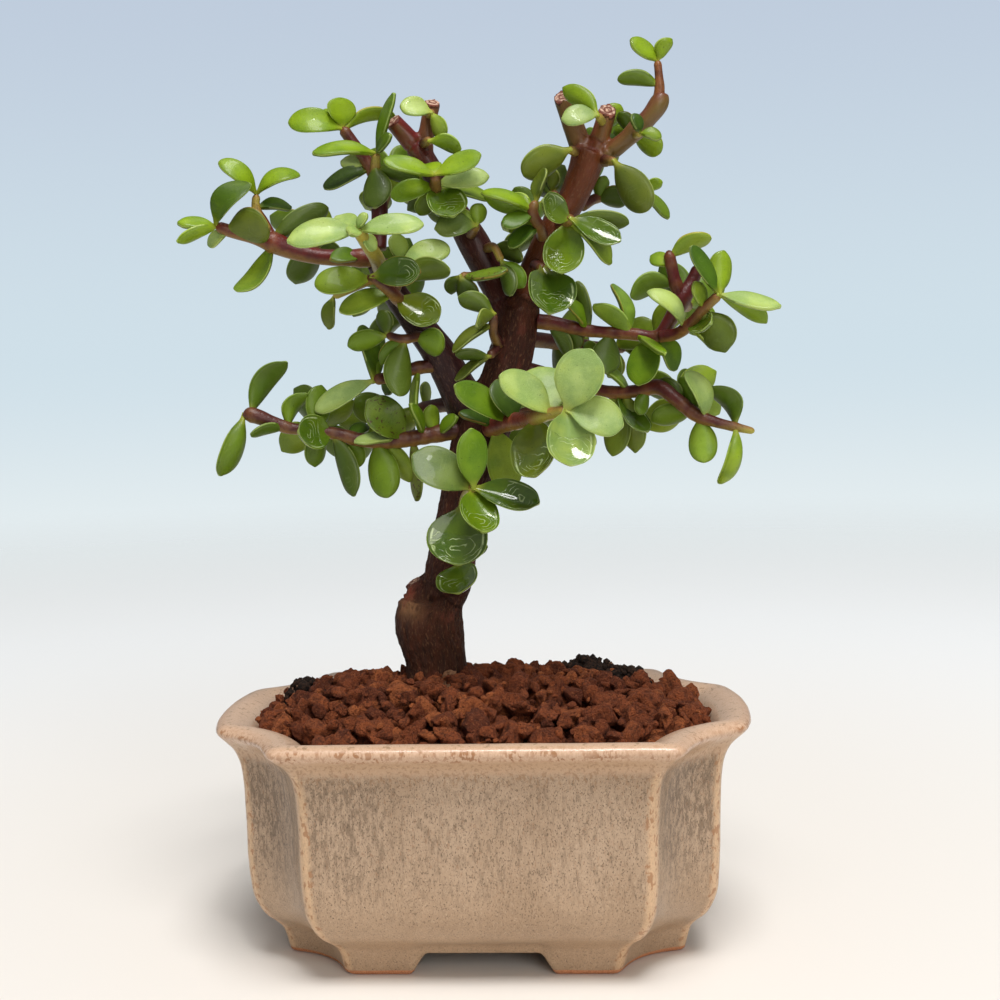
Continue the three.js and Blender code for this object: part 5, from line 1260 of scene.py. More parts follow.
class Graph:
    """Adds nodes to a tree and wires them. A value given to a node may be a socket of another one."""

    def __init__(self, tree):
        self.tree = tree

    def node(self, kind, inputs=None, **settings):
        made = self.tree.nodes.new("ShaderNode" + kind)
        for key, value in settings.items():
            setattr(made, key, value)
        for key, value in (inputs or {}).items():
            self.put(made.inputs[key], value)
        return made

    def put(self, socket, value):
        if isinstance(value, bpy.types.NodeSocket):
            self.tree.links.new(value, socket)
        else:
            socket.default_value = value

    def value(self, name):
        return self.node("Attribute", attribute_name=name).outputs["Fac"]

    def colour(self, name):
        return self.node("Attribute", attribute_name=name).outputs["Color"]

    def vector(self, name):
        return self.node("Attribute", attribute_name=name).outputs["Vector"]

    def place(self):
        """The place on the piece, in millimetres."""
        return self.stretch(self.node("TexCoord").outputs["Object"], (1000, 1000, 1000))

    def height(self, place):
        return self.node("SeparateXYZ", {0: place}).outputs[2]

    def upward(self):
        """How far the surface faces up, -1 to 1."""
        return self.height(self.node("TexCoord").outputs["Normal"])

    def stretch(self, vector, factors):
        return self.node("VectorMath", {0: vector, 1: factors}, operation="MULTIPLY").outputs[0]

    def math(self, kind, a, b=0.0):
        return self.node("Math", {0: a, 1: b}, operation=kind).outputs[0]

    def plus(self, a, b):
        return self.math("ADD", a, b)

    def times(self, *values):
        out = values[0]
        for value in values[1:]:
            out = self.math("MULTIPLY", out, value)
        return out

    def less(self, value):
        return self.math("SUBTRACT", 1.0, value)

    def noise(self, vector, scale=1.0, detail=2.0, roughness=0.5, distortion=0.0):
        inputs = {"Vector": vector, "Scale": scale, "Detail": detail,
                  "Roughness": roughness, "Distortion": distortion}
        return self.node("TexNoise", inputs).outputs[0]

    def between(self, value, low, high, start=0.0, end=1.0):
        """Start below low, end above high, smooth between."""
        inputs = {"Value": value, "From Min": low, "From Max": high, "To Min": start, "To Max": end}
        return self.node("MapRange", inputs, interpolation_type="SMOOTHSTEP").outputs[0]

    def blend(self, mask, a, b, kind="MIX"):
        """Colour b over colour a by a mask. A colour of three numbers is a display colour."""
        made = self.node("Mix", data_type="RGBA", blend_type=kind)
        made.clamp_factor = True
        for socket, value in zip((0, 6, 7), (mask, a, b)):
            if isinstance(value, tuple) and len(value) == 3:
                value = paint(*value)
            self.put(made.inputs[socket], value)
        return made.outputs[2]

    def over(self, body, *layers):
        """Layers laid over a colour in turn, each a mask and its colour."""
        for mask, colour in layers:
            body = self.blend(mask, body, colour)
        return body

    def tinted(self, colour, tint):
        return self.blend(1.0, colour, tint, "MULTIPLY")

    def bump(self, height, distance, strength=1.0):
        inputs = {"Height": height, "Distance": distance * MM, "Strength": strength}
        return self.node("Bump", inputs).outputs["Normal"]

    def specks(self, place, stretch, level, softness):
        """A mask of separate marks, from the node group that the materials share."""
        inputs = {"Place": place, "Stretch": stretch, "Level": level, "Softness": softness}
        tree = bpy.data.node_groups.get("specks") or speck_tree()
        return self.node("Group", inputs, node_tree=tree).outputs[0]


def speck_tree():
    """The node group of separate marks: noise stretched by Stretch, kept above a level."""
    tree = bpy.data.node_groups.new("specks", "ShaderNodeTree")
    for label, kind, default in [
        ("Place", "NodeSocketVector", (0, 0, 0)),
        ("Stretch", "NodeSocketVector", (1, 1, 1)),
        ("Level", "NodeSocketFloat", 0.6),
        ("Softness", "NodeSocketFloat", 0.05),
    ]:
        tree.interface.new_socket(label, in_out="INPUT", socket_type=kind).default_value = default
    tree.interface.new_socket("Mask", in_out="OUTPUT", socket_type="NodeSocketFloat")
    place, stretch, level, softness = tree.nodes.new("NodeGroupInput").outputs[:4]
    mask = tree.nodes.new("NodeGroupOutput").inputs[0]
    g = Graph(tree)
    grain = g.noise(g.stretch(place, stretch), 1.0, 2.0, 0.55)
    g.put(mask, g.between(grain, level, g.plus(level, softness)))
    return tree


def new_material(name, **values):
    """A material, its graph and its shader's inputs, with plain values set on the shader."""
    made = bpy.data.materials.new(name)
    made.use_nodes = True
    shader = made.node_tree.nodes["Principled BSDF"]
    for key, value in values.items():
        shader.inputs[key.replace("_", " ").title().replace("Ior", "IOR")].default_value = value
    return made, Graph(made.node_tree), shader.inputs


# ---------------------------------------------------------------- materials
def glaze_material(settings):
    """Beige glaze run with fine vertical specks, painted shade in the hollow corners, a cream lip, warm
    ridges lightened partly by thin glaze and partly by painted highlight, and bare clay under the feet.
    """
    made, g, shader = new_material("glaze", specular_ior_level=0.38, coat_roughness=0.12)
    place = g.place()
    z = g.height(place)
    ridge = g.value("ridge")
    inside = g.value("inside")
    wide = g.noise(g.stretch(place, (0.07, 0.07, 0.05)), 1.0, 3.0)
    runs = g.noise(g.stretch(place, (1.15, 1.15, 0.34)), 1.0, 5.0, 0.72)
    fine = g.noise(g.stretch(place, (3.2, 3.2, 1.6)), 1.0, 3.0, 0.65)
    upper = g.between(z, 8, 32)
    orange = g.specks(place, (2.2, 2.2, 0.7), 0.6, 0.08)
    dashes = g.specks(place, (3.4, 3.4, 1.9), 0.53, 0.16)
    dots = g.specks(place, (2.8, 2.8, 2.2), 0.67, 0.05)
    ticks = g.specks(place, (1.1, 1.1, 0.6), 0.54, 0.08)
    walls = g.over(
        g.blend(upper, (174, 145, 116), (*settings.glaze, 1.0)),
        (g.between(wide, 0.38, 0.66, 0.0, 0.45), (152, 124, 96)),
        (g.between(fine, 0.5, 0.7, 0.0, 0.4), (200, 176, 150)),
        (g.times(g.between(runs, 0.45, 0.66, 0.0, 0.62), g.between(upper, 0, 1, 0.3, 1)), (122, 101, 80)),
        # painted shade in the hollow corners and over the left third of the front, broken into streaks by the
        # glaze runs
        (g.times(g.value("shade"), g.between(runs, 0.38, 0.6, 0.05, 1.0), 0.85), (110, 90, 70)),
        (g.times(orange, upper, 0.35), (150, 108, 74)),
        (g.times(dashes, g.between(upper, 0.0, 1.0, 0.5, 0.75)), (90, 72, 54)),
        (g.times(dots, 0.85), (58, 42, 32)),
        # a lighter cream band along the ridges: partly the glaze thinning over the edge, partly painted
        # highlight
        (g.times(g.between(ridge, 0.2, 0.85), g.between(fine, 0.3, 0.7, 0.6, 1.0), 0.85), (212, 176, 138)),
        (g.times(ticks, g.between(ridge, 0.15, 0.5), 0.7), (152, 104, 66)),
    )
    lip = g.between(g.plus(z, g.times(runs, 5.0)), 49.6, 52.6)
    cream = g.blend(g.between(fine, 0.35, 0.65), (*settings.lip, 1.0), (192, 157, 128))
    cream = g.blend(g.between(runs, 0.5, 0.7, 0.0, 0.5), cream, (178, 138, 104))
    under = g.times(g.between(z, 47.5, 50.0), g.between(z, 51.2, 52.6, 1.0, 0.0))
    drips = g.specks(place, (1.5, 1.5, 0.32), 0.5, 0.14)
    below = g.times(g.between(z, 44.0, 47.5), g.between(z, 50.5, 52.0, 1.0, 0.0))
    crowd = g.between(g.noise(place, 0.16, 2.0), 0.38, 0.62, 0.3, 1.0)
    band = g.times(g.between(z, 51.2, 52.2), g.between(z, 53.8, 54.9, 1.0, 0.25), g.less(inside))
    strokes = g.times(g.specks(place, (1.15, 1.15, 0.4), 0.5, 0.1), band)
    well = g.blend(g.between(fine, 0.4, 0.7), (200, 174, 150), (184, 156, 130))
    olive = g.specks(place, (0.9, 0.9, 0.7), 0.6, 0.07)
    crest = g.math("MAXIMUM", inside, g.between(z, 54.4, 55.0))
    clay = g.blend(g.between(fine, 0.3, 0.7), (208, 146, 104), (178, 114, 78))
    bare = g.between(g.plus(g.value("bare"), g.times(wide, 0.4)), 0.62, 0.74)
    g.put(shader["Base Color"], g.over(
        walls,
        (lip, cream),
        (g.times(under, 0.6), (176, 144, 110)),
        (g.times(drips, below, 0.55), (142, 106, 72)),
        (g.times(strokes, crowd, 0.9), (150, 102, 62)),
        (g.times(inside, g.between(z, 52, 55, 1.0, 0.3)), well),
        (g.times(olive, crest, 0.6), (128, 102, 70)),
        (bare, clay),
    ))
    gloss = g.plus(0.27, g.times(fine, 0.18))
    g.put(shader["Roughness"], g.math("MAXIMUM", gloss, g.times(bare, 0.85)))
    g.put(shader["Coat Weight"], g.times(g.less(bare), g.between(z, 48.0, 53.0, 0.12, 0.4)))
    relief = g.plus(g.times(wide, 0.8), g.times(fine, 0.16))
    relief = g.math("SUBTRACT", relief, g.times(g.plus(dots, strokes), 0.1))
    g.put(shader["Normal"], g.bump(relief, 0.5, 0.6))
    return made


def granule_material(settings):
    """Fired clay crumbs, rust brown, each of its own tint, with painted shade in their pits and pores."""
    made, g, shader = new_material("granules", specular_ior_level=0.25, roughness=0.88)
    place = g.place()
    tint = g.value("tint")
    cloud = g.noise(place, 0.42, 3.0)
    grain = g.noise(place, 2.6, 4.0, 0.75)
    pores = g.specks(place, (2.7, 2.7, 2.7), 0.54, 0.12)
    g.put(shader["Base Color"], g.over(
        g.blend(g.between(tint, 0.0, 0.4), (112, 55, 32), (*settings.clay, 1.0)),
        (g.between(tint, 0.6, 0.97), (190, 107, 60)),
        (g.between(tint, 0.994, 0.997), (176, 142, 110)),
        (g.between(cloud, 0.42, 0.68, 0.0, 0.55), (100, 50, 31)),
        (g.between(grain, 0.3, 0.46, 0.4, 0.0), (78, 38, 24)),
        (g.between(grain, 0.52, 0.68, 0.0, 0.55), (192, 118, 74)),
        # painted shade in the pores, which the bump digs in, and in the pits of each lump
        (g.times(pores, 0.5), (56, 29, 19)),
        (g.times(g.value("pit"), 0.6), (56, 29, 19)),
    ))
    rough = g.noise(place, 1.7, 5.0, 0.72)
    g.put(shader["Normal"], g.bump(g.math("SUBTRACT", rough, g.times(pores, 0.35)), 1.7, 1.0))
    return made


def compost_material():
    """Black crumbly compost."""
    made, g, shader = new_material("compost", specular_ior_level=0.2, roughness=0.95)
    place = g.place()
    lumps = g.noise(place, 1.1, 5.0, 0.7)
    bits = g.specks(place, (1.3, 1.3, 1.3), 0.68, 0.05)
    body = g.blend(g.between(lumps, 0.4, 0.65), (26, 20, 17), (66, 46, 35))
    g.put(shader["Base Color"], g.blend(g.times(bits, 0.6), body, (104, 72, 50)))
    g.put(shader["Normal"], g.bump(lumps, 1.2, 1.0))
    return made


def root_material():
    """Fine pale roots."""
    made, g, shader = new_material("roots", roughness=0.8)
    cloud = g.noise(g.place(), 0.8, 2.0)
    g.put(shader["Base Color"], g.blend(g.between(cloud, 0.3, 0.7), (128, 94, 70), (84, 60, 46)))
    return made


def bark_material(settings):
    """Old bark, finely wrinkled along the limb, smooth and red on the young limbs, with sawn ends."""
    made, g, shader = new_material("bark", specular_ior_level=0.22, coat_roughness=0.3)
    grain = g.vector("grain")
    smooth = g.value("smooth")
    old = g.less(smooth)
    upward = g.upward()
    fissure = g.noise(g.stretch(grain, (1.5, 1.5, 0.3)), 1.0, 5.0, 0.62, 0.5)
    plates = g.noise(g.stretch(grain, (0.36, 0.36, 0.14)), 1.0, 3.0)
    flecks = g.specks(grain, (2.6, 2.6, 0.8), 0.56, 0.1)
    green = g.times(g.between(smooth, 0.7, 1.0), g.between(upward, -0.4, 0.5, 0.9, 0.0),
                    g.between(plates, 0.35, 0.6, 0.3, 1.0))
    red = g.times(smooth, g.between(upward, -0.1, 0.7), g.between(plates, 0.4, 0.62, 0.1, 0.7))
    ring = g.value("ring")
    cut = g.value("cut")
    pith = g.over(
        (206, 170, 146),
        (g.between(ring, 0.24, 0.42), (112, 66, 50)),
        (g.between(ring, 0.46, 0.62), (206, 172, 150)),
        (g.between(ring, 0.8, 0.95), (120, 70, 54)),
        (g.between(g.noise(g.place(), 1.2, 3.0), 0.42, 0.6, 0.0, 0.8), (92, 46, 36)),
    )
    g.put(shader["Base Color"], g.over(
        g.tinted(g.colour("tint"), (*settings.tone, 1.0)),
        (g.times(old, g.between(plates, 0.35, 0.68, 0.0, 0.6)), (46, 26, 17)),
        # painted shade in the dips of the fissure bump
        (g.times(old, g.between(fissure, 0.34, 0.46, 0.6, 0.0)), (32, 18, 12)),
        (g.times(old, g.between(plates, 0.3, 0.42, 0.5, 0.0)), (112, 58, 42)),
        (green, (100, 84, 36)),
        (red, (96, 32, 27)),
        (g.times(flecks, g.between(smooth, 0, 1, 0.3, 0.1)), (150, 108, 76)),
        (g.times(cut, 0.95), pith),
    ))
    g.put(shader["Roughness"], g.math("MAXIMUM", g.between(smooth, 0.0, 1.0, 0.66, 0.36), g.times(cut, 0.8)))
    g.put(shader["Coat Weight"], g.times(smooth, g.less(cut), 0.3))
    height = g.times(g.plus(fissure, g.times(flecks, 0.2)), g.between(smooth, 0.0, 1.0, 0.9, 0.12))
    g.put(shader["Normal"], g.bump(g.plus(height, g.times(cut, ring, 0.4)), 1.0, 0.95))
    return made


def stem_material():
    """Young stems: red above and olive below, paler toward the tip and at the joints."""
    made, g, shader = new_material("stem", specular_ior_level=0.32, roughness=0.38)
    place = g.place()
    upward = g.upward()
    cloud = g.noise(place, 0.35, 3.0)
    shy = g.plus(upward, g.times(cloud, 0.8))
    marks = g.specks(place, (2.0, 2.0, 2.0), 0.6, 0.08)
    g.put(shader["Base Color"], g.over(
        g.colour("tint"),
        (g.between(cloud, 0.4, 0.7, 0.0, 0.6), (58, 22, 19)),
        (g.between(shy, -0.5, 0.35, 0.75, 0.0), (132, 104, 48)),
        (g.value("young"), g.blend(g.between(upward, -0.4, 0.8), (164, 156, 62), (148, 112, 56))),
        (g.times(g.value("joint"), 0.22), (150, 104, 52)),
        (g.times(marks, 0.4), (58, 30, 24)),
    ))
    g.put(shader["Normal"], g.bump(g.noise(place, 1.6, 4.0), 0.25, 0.6))
    return made


def leaf_material(settings):
    """Fleshy leaves: a skin with a thin rim, a yellow base, dark specks, a paler middle that is partly bloom
    and partly painted sheen, and a film of water on some with painted highlight lines.
    """
    made, g, shader = new_material(
        "leaf", specular_ior_level=0.22, coat_roughness=0.03, subsurface_weight=0.1,
        subsurface_scale=0.7 * MM, subsurface_radius=(0.8, 1.0, 0.2),
    )
    place = g.place()
    tint = g.tinted(g.colour("tint"), (*settings.tone, 1.0))
    t = g.value("leaf_t")
    rim = g.value("leaf_rim")
    wet = g.value("wet")
    dry = g.less(wet)
    cloud = g.noise(place, 0.16, 3.0)
    fine = g.noise(place, 4.0, 3.0, 0.6)
    yellow = g.tinted(tint, (1.3, 1.14, 0.7, 1.0))
    dull = g.tinted(tint, (0.62, 0.72, 0.7, 1.0))
    # a pale bluish tint that stands for the leaf's bloom and for a painted sheen of the sky
    bloom_and_sheen_tint = g.tinted(tint, (1.9, 1.75, 2.6, 1.0))
    inner_line = g.times(g.between(rim, 0.82, 0.92), g.between(rim, 0.94, 0.98, 1.0, 0.0))
    bloom_and_sheen = g.times(g.between(rim, 0.15, 0.85, 1.0, 0.0), g.between(t, 0.1, 0.4), dry)
    dots = g.specks(place, (2.2, 2.2, 2.2), 0.7, 0.03)
    blotch = g.specks(place, (1.3, 1.3, 1.3), 0.58, 0.06)
    body = g.over(
        g.blend(0.5, g.blend(g.between(cloud, 0.38, 0.62), dull, yellow), tint),
        # fine pale mottle on dry leaves: painted sheen
        (g.times(g.between(fine, 0.4, 0.7, 0.0, 0.2), dry), bloom_and_sheen_tint),
        (g.between(g.value("leaf_top"), 0.4, 0.6, 0.22, 0.0), (120, 134, 44)),
        (g.between(t, 0.0, 0.2, 0.5, 0.0), (170, 170, 62)),
        # a paler middle of the blade: partly the leaf's bloom, partly painted sheen
        (g.times(bloom_and_sheen, g.between(cloud, 0.35, 0.6, 0.08, 0.4)), bloom_and_sheen_tint),
        (g.times(inner_line, 0.2), (48, 70, 18)),
        (g.between(rim, 0.965, 0.995, 0.0, 0.8), g.colour("rim_tint")),
        (g.times(dots, 0.65), (40, 46, 20)),
        (g.times(blotch, g.value("spots"), 0.85), (66, 44, 22)),
    )
    # the film of water on the outer part of a wet leaf, with rings in it and a pale line at its edge, both
    # painted highlights of the film
    far = g.plus(t, g.times(g.noise(place, 0.2, 1.0), 0.5))
    film = g.times(wet, g.between(far, 0.72, 0.75), g.between(rim, 0.88, 0.92, 1.0, 0.0))
    ahead = g.times(g.math("SUBTRACT", t, 0.72), 3.4)
    out = g.math("SQRT", g.plus(g.times(ahead, ahead), g.times(rim, rim)))
    out = g.plus(out, g.times(g.noise(place, 0.4, 1.0), 0.5))
    patch = g.between(g.noise(place, 0.34, 1.0), 0.46, 0.6)
    rings = g.times(film, patch, g.between(g.math("SINE", g.times(out, 26.0)), 0.75, 1.0))
    ebb = g.between(g.noise(place, 0.5, 1.0), 0.4, 0.6)
    band = g.times(g.between(rim, 0.8, 0.83), g.between(rim, 0.86, 0.9, 1.0, 0.0))
    edge = g.times(wet, band, g.between(far, 0.7, 0.8))
    painted_glint_lines = g.math("MAXIMUM", g.times(rings, 0.75), g.times(edge, g.plus(0.3, g.times(ebb, 0.7))))
    g.put(shader["Base Color"], g.over(
        body,
        (g.times(film, 0.25), g.tinted(body, (0.66, 0.74, 0.5, 1.0))),
        # painted highlights: the rings of the film and the line at its edge
        (g.times(painted_glint_lines, 0.6), (190, 206, 146)),
    ))
    g.put(shader["Coat Weight"], g.plus(g.times(film, 0.6), g.times(wet, 0.3)))
    matt = g.plus(g.between(wet, 0.0, 1.0, 0.38, 0.16), g.times(fine, 0.12))
    g.put(shader["Roughness"], g.times(matt, g.between(film, 0.0, 1.0, 1.0, 0.3)))
    height = g.plus(g.times(g.noise(place, 0.7, 3.0), 0.4), g.times(fine, dry, 0.09))
    ripple = g.plus(g.times(rings, 0.3), g.times(g.noise(place, 1.5, 2.0), 0.5))
    height = g.plus(height, g.times(film, g.plus(ripple, 0.5)))
    g.put(shader["Normal"], g.bump(height, 0.3, 0.6))
    return made


def mesh_material():
    """Black moulded mesh."""
    made, g, shader = new_material("mesh", specular_ior_level=0.4, base_color=paint(26, 26, 28))
    g.put(shader["Roughness"], g.between(g.noise(g.place(), 0.8, 2.0), 0.3, 0.7, 0.45, 0.6))
    return made


# ---------------------------------------------------------------- looks of the leaves
GREENS = [(62, 90, 8), (84, 113, 14), (50, 76, 8), (100, 124, 22), (70, 96, 12), (112, 134, 34)]
# how much lighter than the rest the leaves of a spray are
TONES = {"right_upper_branch": 1.2, "right_lower_branch": 1.25, "trunk_front_shoot": 1.1}
# words used by LEAF_LOOKS: [colour, share of it, dampness, spots]
LOOKS = {
    "young": [(112, 141, 12), 0.8, 0.12, 0],
    "bright": [(94, 134, 16), 0.75, 0.1, 0],
    # pale is partly painted sheen of the sky on leaves that face it
    "pale": [(152, 174, 98), 0.7, 0.1, 0],
    "light": [(114, 146, 48), 0.6, 0.1, 0],
    # dark stands for old leaves and for painted shade on leaves that are shaded or turned from the light
    "dark": [(34, 54, 14), 0.75, 0.1, 0],
    "olive": [(86, 94, 26), 0.7, 0.1, 0],
    "grey": [(74, 90, 44), 0.65, 0.1, 0],
    "spotted": [(84, 98, 28), 0.5, 0.1, 1],
    "wet": [(84, 106, 30), 0.5, 1, 0],
}
# which leaves of a spray look other than plain green: words of LOOKS, and the leaves by their order
LEAF_LOOKS = {
    "trunk_front_shoot": {"wet": [0, 4], "young wet": [1], "grey": [3]},
    "trunk_low_leaf": {"wet": [0]},
    "right_front_rosette": {
        "wet pale": [0], "pale": [1, 2, 3, 4], "wet olive": [5], "dark": [7], "young": [10],
    },
    "left_front_rosette": {"young pale": range(12)},
    "left_middle_spray": {
        "wet": [1], "wet olive": [2], "olive": [4], "pale": [5], "dark": [6, 8], "grey": [7],
    },
    "left_limb_twig": {"dark": [1, 4]},
    "left_low_spray": {"pale": [0]},
    "left_long_branch": {"wet": [4], "dark": [7], "spotted": [11], "pale": [12], "spotted olive": [15]},
    "left_upper_branch": {"young": [0, 1, 6, 7], "dark": [4], "olive": [5], "pale": [8]},
    "upper_left_shoot": {"young": [0, 1, 2, 3, 4], "dark": [7, 9], "pale": [8]},
    "inner_rosette": {"wet": [0], "young": [1, 2, 3, 4], "pale": [5]},
    "inner_fork_leaves": {"grey": [0]},
    "red_stub_leaves": {"young": [0]},
    "brown_stub_leaves": {"pale": [0]},
    "inner_twig": {"olive": [0, 2, 4], "dark": [1, 3]},
    "inner_limb_leaves": {"spotted": [0], "dark": [1, 2]},
    "centre_dark_leaves": {"dark": [0, 2], "bright": [1]},
    "centre_spray": {"young": [0, 6], "olive": [1]},
    "crown_limb_left_shoot": {"olive": [0], "dark": [1, 2]},
    "crown_limb_rosette": {"wet": [0, 1, 2], "dark": [4]},
    "crown_limb_low_leaf": {"wet": [0]},
    "right_upper_branch": {
        "dark": [0, 18, 19, 21, 22], "wet": [1], "young pale": [2], "young": [3, 5], "pale": [8],
        "bright young": [14], "light": [15, 16],
    },
    "right_lower_branch": {"light": [0, 5], "pale": [3], "dark": [8], "wet": [10], "olive": [11, 12]},
    "crown_tip_shoot": {"young": [1, 2]},
    "crown_right_back_shoot": {"young": [0, 2]},
    "crown_right_leaf": {"olive": [0]},
    "crown_left_leaf": {"olive": [0]},
    "crown_middle_leaves": {"pale": [0], "young": [1]},
    "crown_back_leaves": {"young": [0]},
    "crown_limb_right_shoot": {"dark": [0], "young": [3]},
}
PALE_RIMS = [(188, 196, 120), (172, 186, 112)]
RED_RIM = (176, 120, 74)
RED_RIM_SHARE = 0.14
PLAIN_DAMPNESS = 0.08


def leaf_look(leaf, chance):
    """Colour, rim colour, dampness and spots of a leaf."""
    green = GREENS[chance.integers(len(GREENS))]
    colour = painted(green) * chance.uniform(0.84, 1.16) * TONES.get(leaf["owner"], 1.0)
    damp, spots = PLAIN_DAMPNESS, 0.0
    own = LEAF_LOOKS.get(leaf["owner"], {})
    words = next((words for words, leaves in own.items() if leaf["index"] in leaves), "")
    for word in words.split():
        aim, share, wet, marks = LOOKS[word]
        colour = colour * (1 - share) + painted(aim) * share
        damp = max(damp, wet)
        spots = max(spots, marks)
    red = chance.uniform() < RED_RIM_SHARE
    rim = RED_RIM if red else PALE_RIMS[chance.integers(len(PALE_RIMS))]
    return colour, 0.5 * painted(rim) + 0.75 * colour, damp, spots


# ---------------------------------------------------------------- leaves
# [how far along the leaf, half width as a share of the widest] up to where the end begins to round
BLADE = np.array([
    [-0.05, 0.12], [0, 0.15], [0.07, 0.22], [0.15, 0.42], [0.26, 0.69], [0.38, 0.885], [0.5, 0.98], [0.6, 1],
])
ROUND_FROM = 0.6
STATIONS = np.concatenate([
    [-0.05, 0, 0.04, 0.09, 0.15, 0.22, 0.3, 0.38, 0.46, 0.53],
    ROUND_FROM + (1 - ROUND_FROM) * np.sin(np.linspace(0.0, math.pi / 2, 15)),
])


def blade_half(t):
    """Half width of a blade as a share of its widest, with a round end."""
    dense = spline_rows(np.pad(BLADE, ((0, 0), (0, 2))), 0.01)
    body = np.interp(t, dense[:, 0], dense[:, 1])
    over = np.clip((t - ROUND_FROM) / (1 - ROUND_FROM), 0, 1)
    return np.where(t > ROUND_FROM, (1 - over ** 2.25) ** 0.5, body)


def leaf_mesh(shape, leaf, settings, chance):
    """Adds a blade to a shape: rings round it from its foot to its tip."""
    colour, rim_colour, damp, spots = leaf_look(leaf, chance)
    length, width = leaf["length"], leaf["width"]
    grid = (len(STATIONS), settings.sides)
    t = STATIONS[:, None]
    phi = np.linspace(0, 2 * math.pi, settings.sides, endpoint=False)[None, :]
    phi = phi - 0.22 * np.sin(2 * phi)
    u = np.broadcast_to(np.cos(phi), grid)
    v = np.broadcast_to(np.sin(phi), grid)
    # the section: domed above and full below, thinner toward the tip
    half = np.maximum(blade_half(STATIONS), 0.02)[:, None] * width / 2
    body = np.clip(1.06 - np.maximum(0, (t - 0.72) / 0.4) ** 2, 0, 1) * (0.7 + 0.3 * step(0, 0.3, t))
    thick = settings.thickness / 2 * body * (0.85 + 0.3 * chance.uniform())
    thick = np.minimum(thick, 0.9 * half + 0.18)
    lopsided = chance.uniform(-0.07, 0.07) * np.sin(math.pi * np.clip(t, 0, 1))
    x = half * (u + lopsided * (1 - u ** 2) + lopsided)
    soft = 0.62 * (1 - 0.5 * damp)
    dome = np.where(v > 0, soft, -1.15) * np.abs(v) ** 0.85 * thick
    # the sides fold up from a channel along the middle
    cup = settings.cup * chance.uniform(0.3, 1.6) * (1 - 0.8 * step(0.3, 0.95, t)) + 0.22 * damp
    fold = cup * np.abs(u) ** 1.7 * half
    channel = 0.16 * hump(u, 0.16) * (v > 0) * (1 - step(0.5, 0.95, t)) * np.minimum(1, half / 1.5)
    # the length: arched, curled at the tip, pointed a little, and twisted and swung to a side
    arch = leaf["arch"]
    if abs(arch) < PLAIN_ARCH:
        arch = arch * chance.uniform(-0.3, 1.3) - 0.07 * (damp > 0.5)
    curl = (0.09 * damp - chance.uniform(-0.03, 0.07)) * length * np.clip((t - 0.55) / 0.45, 0, 1) ** 2
    z = dome + fold - channel + arch * length * 4 * t * (1 - t) + curl
    point = chance.uniform(0.0, 0.035) * length
    along = t * length + point * hump(x, 0.11 * width) * step(0.92, 1, t)
    twist = chance.uniform(-0.2, 0.2) * (t - 0.2)
    c, s = np.cos(twist), np.sin(twist)
    x, z = c * x - s * z, s * x + c * z
    x = x + chance.uniform(-0.06, 0.06) * length * t ** 2
    rings = (leaf["base"] + along[..., None] * leaf["along"] + x[..., None] * leaf["side"]
             + z[..., None] * leaf["face"])
    hubs = [rings[0].mean(0), rings[-1].mean(0) + leaf["along"] * 0.002 * length]

    def per_point(value, at_foot, at_tip):
        return np.append(np.broadcast_to(value, grid), [at_foot, at_tip])

    shape.add(
        np.concatenate([rings.reshape(-1, 3), hubs]), closed_faces(*grid), slot=1,
        tint=colour, rim_tint=rim_colour, wet=damp, spots=spots, joint=0.0, young=0.0,
        leaf_t=per_point(t, 0, 1),
        leaf_rim=per_point(np.maximum(np.abs(u) * step(0.1, 0.25, t), step(0.9, 1.0, t)), 0, 1),
        leaf_top=per_point(0.5 + 0.5 * np.clip(v * 3, -1, 1), 0.5, 0.5),
    )


# ---------------------------------------------------------------- stems
# colour of the older wood of a spray, and the radii between which a stem turns from old to young
TWIG_LOOKS = {
    "trunk_front_shoot": [(128, 92, 40), 1.6, 2.0],
    "right_front_rosette": [(110, 42, 34), 1.5, 2.0],
    "left_front_rosette": [(150, 130, 50), 1.4, 2.2],
    "left_upper_branch": [(98, 28, 24), 0.9, 1.3],
    "upper_left_shoot": [(84, 34, 28), 0.9, 1.4],
    "right_upper_branch": [(86, 27, 25), 0.8, 1.3],
    "right_lower_branch": [(82, 34, 28), 0.8, 1.3],
    "crown_tip_shoot": [(132, 80, 44), 0.5, 0.8],
    "left_limb_twig": [(58, 26, 24), 0.5, 0.8],
    "inner_twig": [(64, 30, 26), 0.5, 0.8],
}
PLAIN_TWIG = [(78, 35, 27), 0.8, 1.25]
STEM_SPACING = 0.5
JOINT_REACH = 0.9


def stem_mesh(shape, points, look, joints):
    """Adds a young stem, a little swollen where leaves stand on it."""
    colour, thin, thick = look
    line, radii = smooth_stem(points, STEM_SPACING)
    swell = np.zeros(len(line))
    for joint in joints:
        swell = np.maximum(swell, hump(np.linalg.norm(line - joint, axis=1), JOINT_REACH))
    young = 1 - step(thin, thick, radii)
    radii = radii * (0.95 + 0.08 * swell)
    to_end = (np.arange(len(line))[::-1] + 0.3) * STEM_SPACING / radii[-1]
    tube, faces = sweep(line, radii * np.minimum(1, np.sqrt(np.maximum(0.12, to_end))), STEM_SIDES)
    tube = tube + 0.04 * noise_at(tube, 0.6, 4.0, 2)[:, None] * unit(np.array([1.0, 1.0, 0.4]))
    tint = painted(colour)
    shape.add(
        tube, faces, tint=tint, rim_tint=tint, wet=0.0, spots=0.0,
        joint=np.append(np.repeat(swell, STEM_SIDES), [0, swell[-1]]),
        young=np.append(np.repeat(young, STEM_SIDES), [young[0], young[-1]]),
        leaf_t=0.0, leaf_rim=0.0, leaf_top=0.0,
    )


